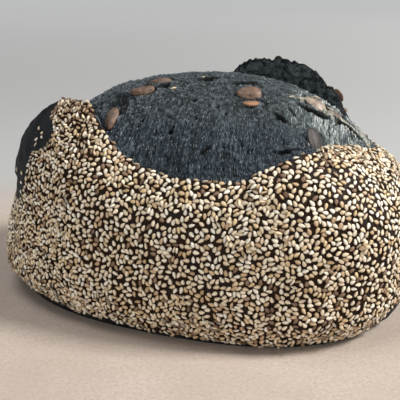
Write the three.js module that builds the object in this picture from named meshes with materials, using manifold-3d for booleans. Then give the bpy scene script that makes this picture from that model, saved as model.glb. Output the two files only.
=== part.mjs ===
// A long sourdough loaf of black dough, slashed once from end to end.
// Millimetres, +Z up, long side on X, the front of the loaf towards -Y, resting on z = 0.
// One solid makes the bread: a flat foot, round sides, a thin lip of crust round the open
// slash and the crumb that has risen through it. Pumpkin seeds sit in sockets in the crumb.
import * as THREE from 'three';
import Module from 'manifold-3d';

// ---- driving dimensions ----
const HALF_LENGTH = 117;   // of the sides at their widest
const HALF_WIDTH = 79;
const PLAN_POWER = 2.4;    // 2 is an ellipse, more is squarer
const FOOT = 0.885;        // size of the flat foot against the widest part
const WIDEST_AT = 22;      // height of the widest part
const SIDE_POWER = 3;      // how upright the sides stand
const LEAN = 9;            // the top leans this far to +X at 100 mm up
const SKIN = 2.6;          // thickness of the crust where it meets the crumb
const LIP = 1.3;           // and at its free edge
const DOME = { length: 110, width: 74.5, top: 121.5, low: 28, power: 2.25, toX: 4, toY: 2 };
const BLEND = 6;           // softness of the valley between dome and crust
const COLUMNS = 120;
const SIDE_ROWS = 12;
const LIP_ROWS = 3;
const CRUMB_ROWS = 12;
const SEED = { length: 14.5, width: 7.6, thick: 2.6, rings: 6, sides: 10 };
const SOCKET_GAP = 0.4;

// Height of the free edge of the crust by bearing, in degrees from +X towards +Y.
const RIM = [
  [14, 84], [32, 81], [43, 84.5],                         // low at the right end
  [54, 107.5], [66, 123.7], [80, 125.6],                  // the ear climbs
  [94, 122.6], [103, 117.5], [113, 104], [125, 94],       // and falls away
  [150, 84], [182, 75], [192, 78],                        // left end of the slash
  [198, 86], [205, 103.5], [211, 111], [219, 111],        // the raised tongue
  [226, 106], [241, 92.6], [259, 83.8],                   // down to the low front
  [286, 81], [300, 81.6],
  [314, 89.8], [326, 94.5], [346, 92.8],                  // right shoulder
];
// Bumps by bearing: rises from the first to the second, holds, falls from the third to the fourth.
// Height the sides would close at if they carried on:
const CLOSE = {
  base: 108,
  bumps: [[26, 57, 90, 126, 42], [145, 190, 206, 246, 27], [232, 264, 298, 325, -9.5], [318, 350, 380, 405, -9]],
};
// How far the crust stands free above the crumb:
const FREE = { base: 6, bumps: [[42, 72, 84, 122, 20], [150, 205, 222, 268, 9]] };

const vec = (x, y, z) => new THREE.Vector3(x, y, z);
const rad = (deg) => (deg * Math.PI) / 180;
const turn = (deg) => ((deg % 360) + 360) % 360;

// Smooth curve through a ring of [bearing, value] stations, never overshooting them.
function ringCurve(stations) {
  const n = stations.length;
  const at = (i) => stations[((i % n) + n) % n][0] + 360 * Math.floor(i / n);
  const val = (i) => stations[((i % n) + n) % n][1];
  const rise = (i) => (val(i + 1) - val(i)) / (at(i + 1) - at(i));
  const slope = (i) => {
    const a = rise(i - 1);
    const b = rise(i);
    if (a * b <= 0) return 0;
    const before = at(i) - at(i - 1);
    const after = at(i + 1) - at(i);
    const w1 = 2 * after + before;
    const w2 = after + 2 * before;
    return (w1 + w2) / (w1 / a + w2 / b);
  };
  return (deg) => {
    let t = turn(deg);
    if (t < at(0)) t += 360;
    let i = 0;
    while (t > at(i + 1)) i += 1;
    const h = at(i + 1) - at(i);
    const s = (t - at(i)) / h;
    const s2 = s * s;
    const s3 = s2 * s;
    return (2 * s3 - 3 * s2 + 1) * val(i) + (s3 - 2 * s2 + s) * h * slope(i)
      + (3 * s2 - 2 * s3) * val(i + 1) + (s3 - s2) * h * slope(i + 1);
  };
}

const ease = (t) => {
  const c = Math.min(Math.max(t, 0), 1);
  return c * c * (3 - 2 * c);
};

const bumped = ({ base, bumps }, deg) => bumps.reduce((sum, [from, full, until, to, amount]) => {
  const t = from + turn(deg - from);
  return sum + amount * ease((t - from) / (full - from)) * (1 - ease((t - until) / (to - until)));
}, base);

const rimHeight = ringCurve(RIM);
const closeHeight = (deg) => bumped(CLOSE, deg);
const valleyHeight = (deg) => rimHeight(deg) - bumped(FREE, deg);
const plan = (deg, a, b, power) => {
  const c = Math.abs(Math.cos(rad(deg))) / a;
  const s = Math.abs(Math.sin(rad(deg))) / b;
  return (c ** power + s ** power) ** (-1 / power);
};
const lean = (z) => LEAN * (z / 100) ** 2;

// A point on the outside at one bearing and height.
function side(deg, z) {
  const under = 1 - Math.min(z / WIDEST_AT, 1);
  const foot = FOOT + (1 - FOOT) * Math.sqrt(1 - under * under);
  const up = Math.max(z - WIDEST_AT, 0) / (closeHeight(deg) - WIDEST_AT);
  const over = (1 - Math.min(up, 1) ** SIDE_POWER) ** (1 / SIDE_POWER);
  const r = plan(deg, HALF_LENGTH, HALF_WIDTH, PLAN_POWER) * foot * over;
  return vec(r * Math.cos(rad(deg)) + lean(z), r * Math.sin(rad(deg)), z);
}

// Direction along the side as the bearing grows, up the side, and straight out of it.
function sideAxes(deg, z) {
  const onTurn = side(deg + 0.2, z).sub(side(deg - 0.2, z)).normalize();
  const climb = side(deg, z + 0.05).sub(side(deg, z - 0.05)).normalize();
  return { onTurn, climb, out: onTurn.clone().cross(climb).normalize() };
}

const inside = (deg, z, thick) => side(deg, z).addScaledVector(sideAxes(deg, z).out, -thick);

// Crumb: a dome that softens into the valley behind the free lip.
function crumbHeight(deg, r) {
  const share = Math.min(r / plan(deg, DOME.length, DOME.width, 2), 1);
  const dome = DOME.low + (DOME.top - DOME.low) * (1 - share ** DOME.power) ** (1 / DOME.power);
  const valley = valleyHeight(deg);
  return (dome + valley + Math.hypot(dome - valley, BLEND)) / 2;
}

const fromMiddle = (p) => Math.hypot(p.x - lean(p.z), p.y);

// Where the crumb meets the inner face of the crust: height on the side, and the point.
function crumbEdge(deg) {
  let z = valleyHeight(deg);
  for (let i = 0; i < 5; i += 1) {
    const p = inside(deg, z, SKIN);
    const wanted = Math.min(crumbHeight(deg, fromMiddle(p)), rimHeight(deg) - 2);
    z = Math.min(z + wanted - p.z, rimHeight(deg) - 1.2);
  }
  return { z, point: inside(deg, z, SKIN) };
}

// share runs from 0 at the middle of the loaf to 1 at the crust
function crumb(deg, share) {
  const end = crumbEdge(deg).point;
  const far = fromMiddle(end);
  const ahead = vec(Math.cos(rad(deg)), Math.sin(rad(deg)), 0);
  const shift = end.clone().addScaledVector(ahead, -far).multiplyScalar(share * share);
  const inward = 1 - share * share;
  const settle = (end.z - crumbHeight(deg, far)) * share ** 6;
  const p = ahead.multiplyScalar(far * share).add(shift);
  return vec(p.x + DOME.toX * inward, p.y + DOME.toY * inward, crumbHeight(deg, far * share) + settle);
}

// Closed mesh from rings of points between two end points.
function closedSkin(first, rings, last) {
  const around = rings[0].length;
  const points = [first, ...rings.flat(), last];
  const faces = [];
  const id = (ring, k) => 1 + ring * around + (k % around);
  for (let k = 0; k < around; k += 1) {
    faces.push(0, id(0, k + 1), id(0, k));
    for (let ring = 0; ring < rings.length - 1; ring += 1) {
      faces.push(id(ring, k), id(ring, k + 1), id(ring + 1, k + 1));
      faces.push(id(ring, k), id(ring + 1, k + 1), id(ring + 1, k));
    }
    faces.push(id(rings.length - 1, k), id(rings.length - 1, k + 1), points.length - 1);
  }
  return { points, faces };
}

function loafSkin() {
  const bearings = Array.from({ length: COLUMNS }, (_, k) => (k * 360) / COLUMNS);
  const rings = [];
  for (let row = 0; row <= SIDE_ROWS; row += 1) {
    const up = (1 - Math.cos((Math.PI * row) / SIDE_ROWS)) / 2;
    rings.push(bearings.map((deg) => side(deg, rimHeight(deg) * up)));
  }
  for (let row = 0; row < LIP_ROWS; row += 1) {
    const down = row / LIP_ROWS;
    rings.push(bearings.map((deg) => {
      const rim = rimHeight(deg);
      return inside(deg, rim + (crumbEdge(deg).z - rim) * down, LIP + (SKIN - LIP) * down);
    }));
  }
  for (let row = 0; row < CRUMB_ROWS; row += 1) {
    rings.push(bearings.map((deg) => crumb(deg, 1 - row / CRUMB_ROWS)));
  }
  return closedSkin(vec(0, 0, 0), rings, crumb(0, 0));
}

// Flat seed with one blunt and one pointed end, long on X, grown all round by `grow`.
function seedSkin(grow) {
  const { length, width, thick, rings: count, sides } = SEED;
  const rings = [];
  for (let i = 0; i < count; i += 1) {
    const along = -Math.cos((Math.PI * (i + 0.75)) / (count + 0.5));
    const swell = Math.sqrt(1 - along * along);
    const broad = (width / 2) * swell * (1 - 0.22 * along) + grow;
    const deep = (thick / 2) * swell ** 0.8 + grow;
    rings.push(Array.from({ length: sides }, (_, k) => {
      const a = (2 * Math.PI * k) / sides;
      return vec(along * (length / 2 + grow), Math.cos(a) * broad, Math.sin(a) * deep);
    }));
  }
  const tip = length / 2 + grow;
  return closedSkin(vec(-tip, 0, 0), rings, vec(tip, 0, 0));
}

// Where each seed lies: bearing, share, direction of its long side, roll, height over the crumb.
const SEEDS = [
  [227.9, 0.723, 88, 2, 0.6], [224.5, 0.48, 3, 6, 0.6], [216.5, 0.318, 4, 4, -0.1],
  [321.8, 0.465, 25, 20, 0.7], [317.3, 0.555, 26, -24, 0.1], [359, 0.689, 8, 12, 0.6],
  [335.5, 0.915, 84, 4, -0.2], [4.4, 0.775, -10, -10, -0.7],
  [128, 0.45, 35, 6, 0.4], [40, 0.5, -50, 5, 0.5], [165, 0.62, 70, -8, 0.4],
];
const EAR_SEED = { bearing: 52.3, below: 2.2, direction: 47, out: 1.4 };

function seedFrame(origin, up, long, roll) {
  const across = up.clone().cross(long).normalize();
  const ahead = across.clone().cross(up).normalize();
  const frame = new THREE.Matrix4().makeBasis(ahead, across, up);
  frame.multiply(new THREE.Matrix4().makeRotationX(rad(roll)));
  frame.setPosition(origin);
  return frame;
}

function crumbFrame([bearing, share, direction, roll, lift]) {
  const onTurn = crumb(bearing + 1, share).sub(crumb(bearing - 1, share));
  const outward = crumb(bearing, share + 0.02).sub(crumb(bearing, share - 0.02));
  const up = outward.cross(onTurn).normalize();
  const long = vec(Math.cos(rad(direction)), Math.sin(rad(direction)), 0);
  return seedFrame(crumb(bearing, share).addScaledVector(up, lift), up, long, roll);
}

function earFrame({ bearing, below, direction, out }) {
  const z = rimHeight(bearing) - below;
  const axes = sideAxes(bearing, z);
  const long = axes.onTurn.multiplyScalar(Math.cos(rad(direction)))
    .addScaledVector(axes.climb, Math.sin(rad(direction)));
  return seedFrame(side(bearing, z).addScaledVector(axes.out, out), axes.out, long, 0);
}

const wasm = await Module();
wasm.setup();

function solid({ points, faces }, frame = new THREE.Matrix4()) {
  const moved = points.map((p) => p.clone().applyMatrix4(frame).toArray());
  return new wasm.Manifold(new wasm.Mesh({
    numProp: 3,
    vertProperties: new Float32Array(moved.flat()),
    triVerts: new Uint32Array(faces),
  }));
}

function mesh(name, body, material) {
  const { vertProperties, triVerts } = body.getMesh();
  const geometry = new THREE.BufferGeometry();
  geometry.setAttribute('position', new THREE.BufferAttribute(new Float32Array(vertProperties), 3));
  geometry.setIndex(new THREE.BufferAttribute(new Uint32Array(triVerts), 1));
  geometry.computeVertexNormals();
  const made = new THREE.Mesh(geometry, material);
  made.name = name;
  return made;
}

const bread = new THREE.MeshStandardMaterial({ color: 0x24282c, roughness: 0.9, metalness: 0 });
const kernel = new THREE.MeshStandardMaterial({ color: 0x8a5f45, roughness: 0.6, metalness: 0 });

const frames = [...SEEDS.map(crumbFrame), earFrame(EAR_SEED)];
const loaf = frames.reduce((body, frame) => body.subtract(solid(seedSkin(SOCKET_GAP), frame)), solid(loafSkin()));

const part = new THREE.Group();
part.name = 'sourdough_loaf';
part.add(mesh('loaf', loaf, bread));
frames.forEach((frame, i) => part.add(mesh(`pumpkin_seed_${i + 1}`, solid(seedSkin(0), frame), kernel)));

// The middle of the whole box stands over the origin.
const middle = new THREE.Box3().setFromObject(part).getCenter(vec(0, 0, 0));
part.children.forEach((made) => made.geometry.translate(-middle.x, -middle.y, 0));

export default part;
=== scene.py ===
# %% [markdown]
# # A charcoal sourdough loaf with a sesame coat
# The loaf is one long oval of black dough. It was rolled in sesame, slashed once along its
# length and baked. The slash opened: its back edge stood up as an ear, its front edge as a
# short tongue, and the crumb between them rose with pumpkin seeds baked into it.
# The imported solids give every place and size. This lesson builds fine surfaces over them:
# the crust, the torn crumb, each sesame seed and each pumpkin seed.

# %% Load the frame
import math

import bpy
import numpy as np
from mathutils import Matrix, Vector, kdtree


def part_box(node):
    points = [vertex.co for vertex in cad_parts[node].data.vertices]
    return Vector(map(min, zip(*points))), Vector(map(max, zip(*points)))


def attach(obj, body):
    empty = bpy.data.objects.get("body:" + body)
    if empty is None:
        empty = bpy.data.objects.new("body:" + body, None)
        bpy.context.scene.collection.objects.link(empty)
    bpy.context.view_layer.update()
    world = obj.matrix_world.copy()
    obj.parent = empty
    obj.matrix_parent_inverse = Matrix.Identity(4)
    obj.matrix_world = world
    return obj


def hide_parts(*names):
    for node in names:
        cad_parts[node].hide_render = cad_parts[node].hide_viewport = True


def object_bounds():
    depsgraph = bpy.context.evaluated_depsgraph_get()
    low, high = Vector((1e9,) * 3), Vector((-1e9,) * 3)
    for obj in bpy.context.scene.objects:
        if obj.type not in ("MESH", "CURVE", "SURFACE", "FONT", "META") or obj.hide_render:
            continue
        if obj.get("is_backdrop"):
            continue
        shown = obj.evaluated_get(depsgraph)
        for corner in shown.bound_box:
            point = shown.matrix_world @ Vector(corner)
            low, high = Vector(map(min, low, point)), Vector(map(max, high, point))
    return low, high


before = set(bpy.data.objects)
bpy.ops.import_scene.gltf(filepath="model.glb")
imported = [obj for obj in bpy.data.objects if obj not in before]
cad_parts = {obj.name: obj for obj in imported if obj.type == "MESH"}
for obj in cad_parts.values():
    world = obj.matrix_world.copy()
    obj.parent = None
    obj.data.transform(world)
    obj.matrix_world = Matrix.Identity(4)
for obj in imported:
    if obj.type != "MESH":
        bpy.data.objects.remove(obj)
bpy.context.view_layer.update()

# %% [markdown]
# ## Camera
# The camera comes first, because it decides how fine each surface has to be. A loaf is looked
# at from a little above a table, so the camera stands 430 mm away and 18 degrees up, and
# 22 degrees from the front towards the right-hand end.

# %% Camera
MM = 0.001
TURN, RISE, AWAY = math.radians(22), math.radians(18), 430 * MM
AIM = Vector((-2.2, 0, 50)) * MM

BACKWARD = Vector((math.sin(TURN) * math.cos(RISE), -math.cos(TURN) * math.cos(RISE), math.sin(RISE)))
RIGHTWARD = Vector((math.cos(TURN), math.sin(TURN), 0))

camera = bpy.data.objects.new("camera", bpy.data.cameras.new("camera"))
camera.data.lens = 67.7
camera.data.clip_start = 10 * MM
camera.data.clip_end = 20
camera.location = AIM + BACKWARD * AWAY
camera.rotation_mode = "QUATERNION"
camera.rotation_quaternion = BACKWARD.to_track_quat("Z", "Y")
bpy.context.scene.collection.objects.link(camera)
bpy.context.scene.camera = camera
print("camera stands at", [round(v, 3) for v in camera.location])

# %% [markdown]
# ## The shape of the loaf
# The solid `loaf` follows a few formulas: an oval foot, sides that swell and close over, a rim
# whose height changes with the bearing, and a dome of crumb inside it. The same formulas are
# written here for whole arrays of points, so that a surface can be made as fine as needed.
# Lengths are millimetres and bearings are degrees from +X towards +Y.

# %% Driving sizes of the loaf
HALF_LENGTH = 117
HALF_WIDTH = 79
PLAN_POWER = 2.4
FOOT = 0.885
WIDEST_AT = 22
SIDE_POWER = 3
LEAN = 9
SKIN = 2.6
LIP = 1.3
BLEND = 6
DOME = dict(length=110, width=74.5, top=121.5, low=28, power=2.25, to_x=4, to_y=2)
print("the loaf is", 2 * HALF_LENGTH, "mm long and", 2 * HALF_WIDTH, "mm wide at its widest")

# %% Heights round the loaf
# Height of the free edge of the crust by bearing.
RIM = [
    (14, 84), (32, 81), (43, 84.5),
    (54, 107.5), (66, 123.7), (80, 125.6),
    (94, 122.6), (103, 117.5), (113, 104), (125, 94),
    (150, 84), (182, 75), (192, 78),
    (198, 86), (205, 103.5), (211, 111), (219, 111),
    (226, 106), (241, 92.6), (259, 83.8),
    (286, 81), (300, 81.6),
    (314, 89.8), (326, 94.5), (346, 92.8),
]

# The height at which the sides would close, and how far the crumb lies below the rim: a base
# value and its bumps. A bump rises from the first bearing to the second, falls from the third
# to the fourth, and adds the last number.
CLOSE = (108, [
    (26, 57, 90, 126, 42),
    (145, 190, 206, 246, 27),
    (232, 264, 298, 325, -9.5),
    (318, 350, 380, 405, -9),
])
FREE = (6, [(42, 72, 84, 122, 20), (150, 205, 222, 268, 9)])
print("the rim has", len(RIM), "stations, the lowest", min(z for _, z in RIM), "mm high")


# %% Steps, windows and humps
def ease(t):
    """Smooth step from 0 to 1."""
    c = np.clip(t, 0, 1)
    return c * c * (3 - 2 * c)


def window(value, start, rise, until, fall, tall=1):
    """Rises smoothly after start, stays tall, and falls again after until."""
    return tall * ease((value - start) / rise) * (1 - ease((value - until) / fall))


def hump(value, middle, width):
    """1 at the middle, fading to both sides."""
    return np.exp(-(((value - middle) / width) ** 2))


def bumped(settings, deg):
    """A base value with its bumps round the loaf."""
    base, bumps = settings
    deg = np.asarray(deg, float)
    total = base + 0 * deg
    for start, full, until, end, amount in bumps:
        t = start + (deg - start) % 360
        total = total + window(t, start, full - start, until, end - until, amount)
    return total


print("the sides close at heights from", bumped(CLOSE, 280), "to", bumped(CLOSE, 70))


# %% Curve round the rim
def ring_curve(stations):
    """Smooth curve through a ring of bearings and values that never overshoots them."""
    at = np.array([s[0] for s in stations], float)
    value = np.array([s[1] for s in stations], float)
    at = np.concatenate([at[-3:] - 360, at, at[:3] + 360])
    value = np.concatenate([value[-3:], value, value[:3]])
    gap = np.diff(at)
    rise = np.diff(value) / gap
    slope = np.zeros(len(at))
    for i in range(1, len(at) - 1):
        if rise[i - 1] * rise[i] > 0:
            before = 2 * gap[i] + gap[i - 1]
            after = gap[i] + 2 * gap[i - 1]
            slope[i] = (before + after) / (before / rise[i - 1] + after / rise[i])

    def curve(deg):
        t = np.asarray(deg, float) % 360
        i = np.clip(np.searchsorted(at, t, side="right") - 1, 1, len(at) - 3)
        h = at[i + 1] - at[i]
        s = (t - at[i]) / h
        start = (2 * s**3 - 3 * s**2 + 1) * value[i] + (s**3 - 2 * s**2 + s) * h * slope[i]
        return start + (3 * s**2 - 2 * s**3) * value[i + 1] + (s**3 - s**2) * h * slope[i + 1]

    return curve


rim_height = ring_curve(RIM)
rim_round = rim_height(np.arange(360))
print("rim is highest at bearing", int(np.argmax(rim_round)), "and reaches", rim_round.max())


# %% Side of the crust
def plan(deg, a, b, power):
    """Reach of an oval with these half lengths: power 2 is an ellipse, more is squarer."""
    t = np.radians(deg)
    return ((np.abs(np.cos(t)) / a) ** power + (np.abs(np.sin(t)) / b) ** power) ** (-1 / power)


def lean(z):
    """How far the loaf leans towards +X at this height."""
    return LEAN * (z / 100) ** 2


def side(deg, z):
    """Point on the outside of the crust."""
    z = np.asarray(z, float) + 0 * np.asarray(deg, float)
    under = 1 - np.minimum(z / WIDEST_AT, 1)
    foot = FOOT + (1 - FOOT) * np.sqrt(1 - under**2)
    up = np.clip((z - WIDEST_AT) / (bumped(CLOSE, deg) - WIDEST_AT), 0, 1)
    over = (1 - up**SIDE_POWER) ** (1 / SIDE_POWER)
    r = plan(deg, HALF_LENGTH, HALF_WIDTH, PLAN_POWER) * foot * over
    t = np.radians(deg)
    return np.stack([r * np.cos(t) + lean(z), r * np.sin(t), z], -1)


print("the right end of the foot is at", side(0, 0).round(1))


# %% Directions on the side
def unit(v):
    """The same direction with a length of 1."""
    return v / np.linalg.norm(v, axis=-1, keepdims=True)


def side_axes(deg, z):
    """Direction along the side as the bearing grows, up the side, and straight out of it."""
    on_turn = unit(side(deg + 0.2, z) - side(deg - 0.2, z))
    climb = unit(side(deg, z + 0.05) - side(deg, z - 0.05))
    return on_turn, climb, unit(np.cross(on_turn, climb))


def inside(deg, z, thick):
    """Point this far inside the crust."""
    return side(deg, z) - side_axes(deg, z)[2] * np.asarray(thick, float)[..., None]


print("straight out of the front is", side_axes(270, 30)[2].round(2))


# %% Dome of crumb
def valley_height(deg):
    """Height of the crumb where it meets the crust."""
    return rim_height(deg) - bumped(FREE, deg)


def crumb_height(deg, r):
    """The dome, blended into the valley behind the rim."""
    share = np.minimum(r / plan(deg, DOME["length"], DOME["width"], 2), 1)
    dome = DOME["low"] + (DOME["top"] - DOME["low"]) * (1 - share ** DOME["power"]) ** (1 / DOME["power"])
    valley = valley_height(deg)
    return (dome + valley + np.hypot(dome - valley, BLEND)) / 2


print("the dome rises", round(float(crumb_height(0, 0) - valley_height(0)), 1), "mm above its right edge")


# %% Crumb from middle to edge
MEETING_ROUNDS = 5


def crumb_edge(deg):
    """Where the crumb meets the inner face of the crust: height on the side, and the point.

    Each round sets the height on the side to that of the crumb there, so the two soon agree.
    """
    z = valley_height(deg)
    for _ in range(MEETING_ROUNDS):
        p = inside(deg, z, SKIN)
        far = np.hypot(p[..., 0] - lean(p[..., 2]), p[..., 1])
        wanted = np.minimum(crumb_height(deg, far), rim_height(deg) - 2)
        z = np.minimum(z + wanted - p[..., 2], rim_height(deg) - 1.2)
    return z, inside(deg, z, SKIN)


def crumb(deg, share):
    """Point on the crumb; share runs from 0 at the middle to 1 at the crust."""
    end = crumb_edge(deg)[1]
    far = np.hypot(end[..., 0] - lean(end[..., 2]), end[..., 1])
    t = np.radians(deg)
    bent = share**2
    settle = (end[..., 2] - crumb_height(deg, far)) * share**6
    x = far * share * np.cos(t) + (end[..., 0] - far * np.cos(t)) * bent + DOME["to_x"] * (1 - bent)
    y = far * share * np.sin(t) + (end[..., 1] - far * np.sin(t)) * bent + DOME["to_y"] * (1 - bent)
    return np.stack([x, y, crumb_height(deg, far * share) + settle], -1)


print("the top of the crumb is at", crumb(np.zeros(1), np.zeros(1))[0].round(1))

# %% [markdown]
# ### Set the formulas on the solid
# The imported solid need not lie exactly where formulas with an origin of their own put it. The
# offset could be typed in, but measured from the two boxes it stays right when the solids
# change.

# %% Offset to the solid
ring = side(*np.meshgrid(np.arange(0, 360, 1.0), np.linspace(0, 75, 60)))
own_middle = (ring[..., :2].max((0, 1)) + ring[..., :2].min((0, 1))) / 2
low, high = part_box("loaf")
solid_middle = np.array([(low[i] + high[i]) / 2 / MM for i in (0, 1)])
SHIFT = np.array([*(solid_middle - own_middle), 0])
print("formulas move by", SHIFT.round(2), "mm onto the solid, which is",
      round((high[0] - low[0]) / MM, 1), "mm long; the formulas give", round(np.ptp(ring[..., 0]), 1))

# %% [markdown]
# ## Roughness for shapes
# Dough never bakes smooth. Sculpting by hand would give one loaf, and a noise function gives
# any number of points the same lumps every time. Smooth random values sit on a lattice of
# cubes and are blended in between; two or three layers, each half as large, make it look baked.


# %% Noise for points
def lattice_value(cells, seed):
    """A value from -1 to 1 for each whole-number cell: its numbers' bits, thoroughly mixed."""
    n = cells[..., 0] * 374761393 + cells[..., 1] * 668265263 + cells[..., 2] * 1103515245 + seed * 362437
    n = (n ^ (n >> 13)) & 0x7FFFFFFF
    n = (n * 1274126177) & 0x7FFFFFFF
    n = n ^ (n >> 16)
    return (n & 0xFFFF) / 32767.5 - 1


# The lattice is turned out of line with the loaf, so its cubes never show as level rows.
ASKEW = np.array([[0.36, 0.48, -0.8], [-0.8, 0.6, 0], [0.48, 0.64, 0.6]])


def lumps(points, size, seed):
    """Smooth noise from -1 to 1 with lumps of about this size in millimetres."""
    p = np.asarray(points, float) @ ASKEW / size + 17.3 * seed
    cell = np.floor(p).astype(np.int64)
    f = p - cell
    f = f * f * f * (f * (f * 6 - 15) + 10)
    total = 0
    for corner in np.ndindex(2, 2, 2):
        weight = np.prod(np.where(corner, f, 1 - f), axis=-1)
        total = total + weight * lattice_value(cell + corner, seed)
    return total


def layered(points, size, layers, seed):
    """Lumps of this size with finer and weaker ones on them."""
    return sum(lumps(points, size / 2**i, seed + i) / 2**i for i in range(layers))


sample = layered(np.random.default_rng(1).uniform(-50, 50, (4000, 3)), 10, 3, 1)
print("layered noise runs from", round(sample.min(), 2), "to", round(sample.max(), 2))

# %% [markdown]
# ## From points to pieces
# Every piece here starts as a grid of points: rings round the loaf, rings round a seed, or a
# bent square. Faces between neighbours and smooth normals come from the grid itself, so one
# helper each serves all pieces. Another turns points and faces into an object that rides on
# the loaf and hides the solid it stands in for.


# %% Faces and normals of a grid
def shell_faces(rows, columns):
    """Quads between rows of points that each close into a ring."""
    row = np.arange(rows - 1)[:, None] * columns
    k = np.arange(columns)[None, :]
    after = (k + 1) % columns
    quads = np.stack([row + k, row + after, row + columns + after, row + columns + k], -1)
    return quads.reshape(-1, 4)


def sheet_normals(points, wraps):
    """Normals of a grid of points whose columns may close into a ring."""
    down = np.gradient(points, axis=0)
    if wraps:
        along = (np.roll(points, -1, 1) - np.roll(points, 1, 1)) / 2
    else:
        along = np.gradient(points, axis=1)
    return unit(np.cross(along, down))


print("a ring of 8 points and 3 rows has", len(shell_faces(3, 8)), "faces")


# %% New piece
def new_piece(name, points, face_sets, materials, node=None, values=None, shift=SHIFT):
    """Mesh from millimetre points. It has one material, or one for each set of faces."""
    if not isinstance(materials, list):
        materials = [materials] * len(face_sets)
    mesh = bpy.data.meshes.new(name)
    mesh.vertices.add(len(points))
    mesh.vertices.foreach_set("co", ((points + shift) * MM).astype(np.float32).ravel())
    corners = np.concatenate([faces.ravel() for faces in face_sets])
    sizes = np.concatenate([np.full(len(faces), faces.shape[1]) for faces in face_sets])
    mesh.loops.add(len(corners))
    mesh.loops.foreach_set("vertex_index", corners.astype(np.int32))
    mesh.polygons.add(len(sizes))
    mesh.polygons.foreach_set("loop_start", (np.cumsum(sizes) - sizes).astype(np.int32))
    kinds = list(dict.fromkeys(materials))
    for material in kinds:
        mesh.materials.append(material)
    index = [np.full(len(faces), kinds.index(material)) for faces, material in zip(face_sets, materials)]
    mesh.polygons.foreach_set("material_index", np.concatenate(index).astype(np.int32))
    mesh.update(calc_edges=True)
    mesh.validate()
    mesh.shade_smooth()
    for label, data in (values or {}).items():
        kind, field = ("FLOAT_VECTOR", "vector") if data.ndim == 2 else ("FLOAT", "value")
        mesh.attributes.new(label, kind, "POINT").data.foreach_set(field, data.astype(np.float32).ravel())
    piece = bpy.data.objects.new(name, mesh)
    bpy.context.scene.collection.objects.link(piece)
    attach(piece, "root")
    if node:
        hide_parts(*node)
    print(f"{name}: {len(points)} points, {int((sizes - 2).sum())} triangles")
    return piece


print("pieces are moved by", SHIFT.round(2), "mm unless they say otherwise")

# %% [markdown]
# ## Effects that several finishes share
# Black dough, torn crumb, seeds and kernels all need slow patches of tone, a fine tooth that
# breaks up the light, and a little flour on what faces up. Each effect is a node group that
# puts out a mask or a height, and each material places it with its own sizes. Sizes are in
# millimetres, and the groups turn the object's metres into millimetres themselves.


# %% Node helpers
def add(tree, kind, settings=None, feeds=None):
    """New node with its settings; each input is fed a value or another node's output."""
    made = tree.nodes.new("ShaderNode" + kind)
    for name, value in (settings or {}).items():
        setattr(made, name, value)
    for name, value in (feeds or {}).items():
        if isinstance(value, bpy.types.NodeSocket):
            tree.links.new(value, made.inputs[name])
        else:
            made.inputs[name].default_value = value
    return made


def maths(tree, operation, a, b):
    return add(tree, "Math", dict(operation=operation), {0: a, 1: b}).outputs[0]


def ramp(tree, value, low, high, start=0.0, end=1.0, kind="LINEAR"):
    """Spreads what lies between low and high over start to end."""
    feeds = {"Value": value, "From Min": low, "From Max": high, "To Min": start, "To Max": end}
    return add(tree, "MapRange", dict(interpolation_type=kind), feeds).outputs[0]


def noise(tree, place, rate, detail, roughness):
    feeds = dict(Vector=place, Scale=rate, Detail=detail, Roughness=roughness)
    return add(tree, "TexNoise", None, feeds).outputs[0]


def in_millimetres(tree):
    place = add(tree, "TexCoord").outputs["Object"]
    return add(tree, "VectorMath", dict(operation="SCALE"), {0: place, "Scale": 1 / MM}).outputs[0]


print("one millimetre is", MM, "of the object's units")


# %% Empty node group
def new_group(name, inputs, output):
    """Empty node group with number inputs, their usual values, and one number output."""
    tree = bpy.data.node_groups.new(name, "ShaderNodeTree")
    for label, usual in inputs.items():
        socket = tree.interface.new_socket(name=label, in_out="INPUT", socket_type="NodeSocketFloat")
        socket.default_value = usual
    tree.interface.new_socket(name=output, in_out="OUTPUT", socket_type="NodeSocketFloat")
    given, put_out = tree.nodes.new("NodeGroupInput"), tree.nodes.new("NodeGroupOutput")
    return tree, given.outputs, put_out.inputs[output]


print("node groups before the first one:", len(bpy.data.node_groups))

# %% Patches, tooth and flour
patches, given, result = new_group("patches", dict(Size=20.0, Sharpness=0.5, Seed=0.0), "Mask")
shifted = add(patches, "VectorMath", dict(operation="ADD"), {0: in_millimetres(patches), 1: given["Seed"]})
cloud = noise(patches, shifted.outputs[0], maths(patches, "DIVIDE", 1.0, given["Size"]), 4.0, 0.6)
low_end = maths(patches, "MULTIPLY", given["Sharpness"], 0.45)
high_end = maths(patches, "SUBTRACT", 1.0, low_end)
patches.links.new(ramp(patches, cloud, low_end, high_end, kind="SMOOTHSTEP"), result)

tooth, given, result = new_group("tooth", dict(Size=0.6, Pits=0.3), "Height")
rate = maths(tooth, "DIVIDE", 1.0, given["Size"])
grit = noise(tooth, in_millimetres(tooth), rate, 3.0, 0.65)
holes = add(tooth, "TexVoronoi", None, dict(Vector=in_millimetres(tooth), Scale=rate, Randomness=1.0))
in_hole = ramp(tooth, holes.outputs["Distance"], 0.0, 0.35, 1.0, 0.0)
pit_depth = maths(tooth, "MULTIPLY", in_hole, given["Pits"])
tooth.links.new(maths(tooth, "SUBTRACT", grit, pit_depth), result)

flour, given, result = new_group("flour", dict(Size=6.0, Amount=0.5), "Mask")
facing = add(flour, "SeparateXYZ", None, {0: add(flour, "NewGeometry").outputs["Normal"]}).outputs["Z"]
drift = noise(flour, in_millimetres(flour), maths(flour, "DIVIDE", 1.0, given["Size"]), 6.0, 0.75)
dust = maths(flour, "MULTIPLY", ramp(flour, facing, 0.1, 0.95), ramp(flour, drift, 0.45, 0.75))
flour.links.new(maths(flour, "MULTIPLY", dust, given["Amount"]), result)
print("node groups:", [group.name for group in bpy.data.node_groups])


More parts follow.
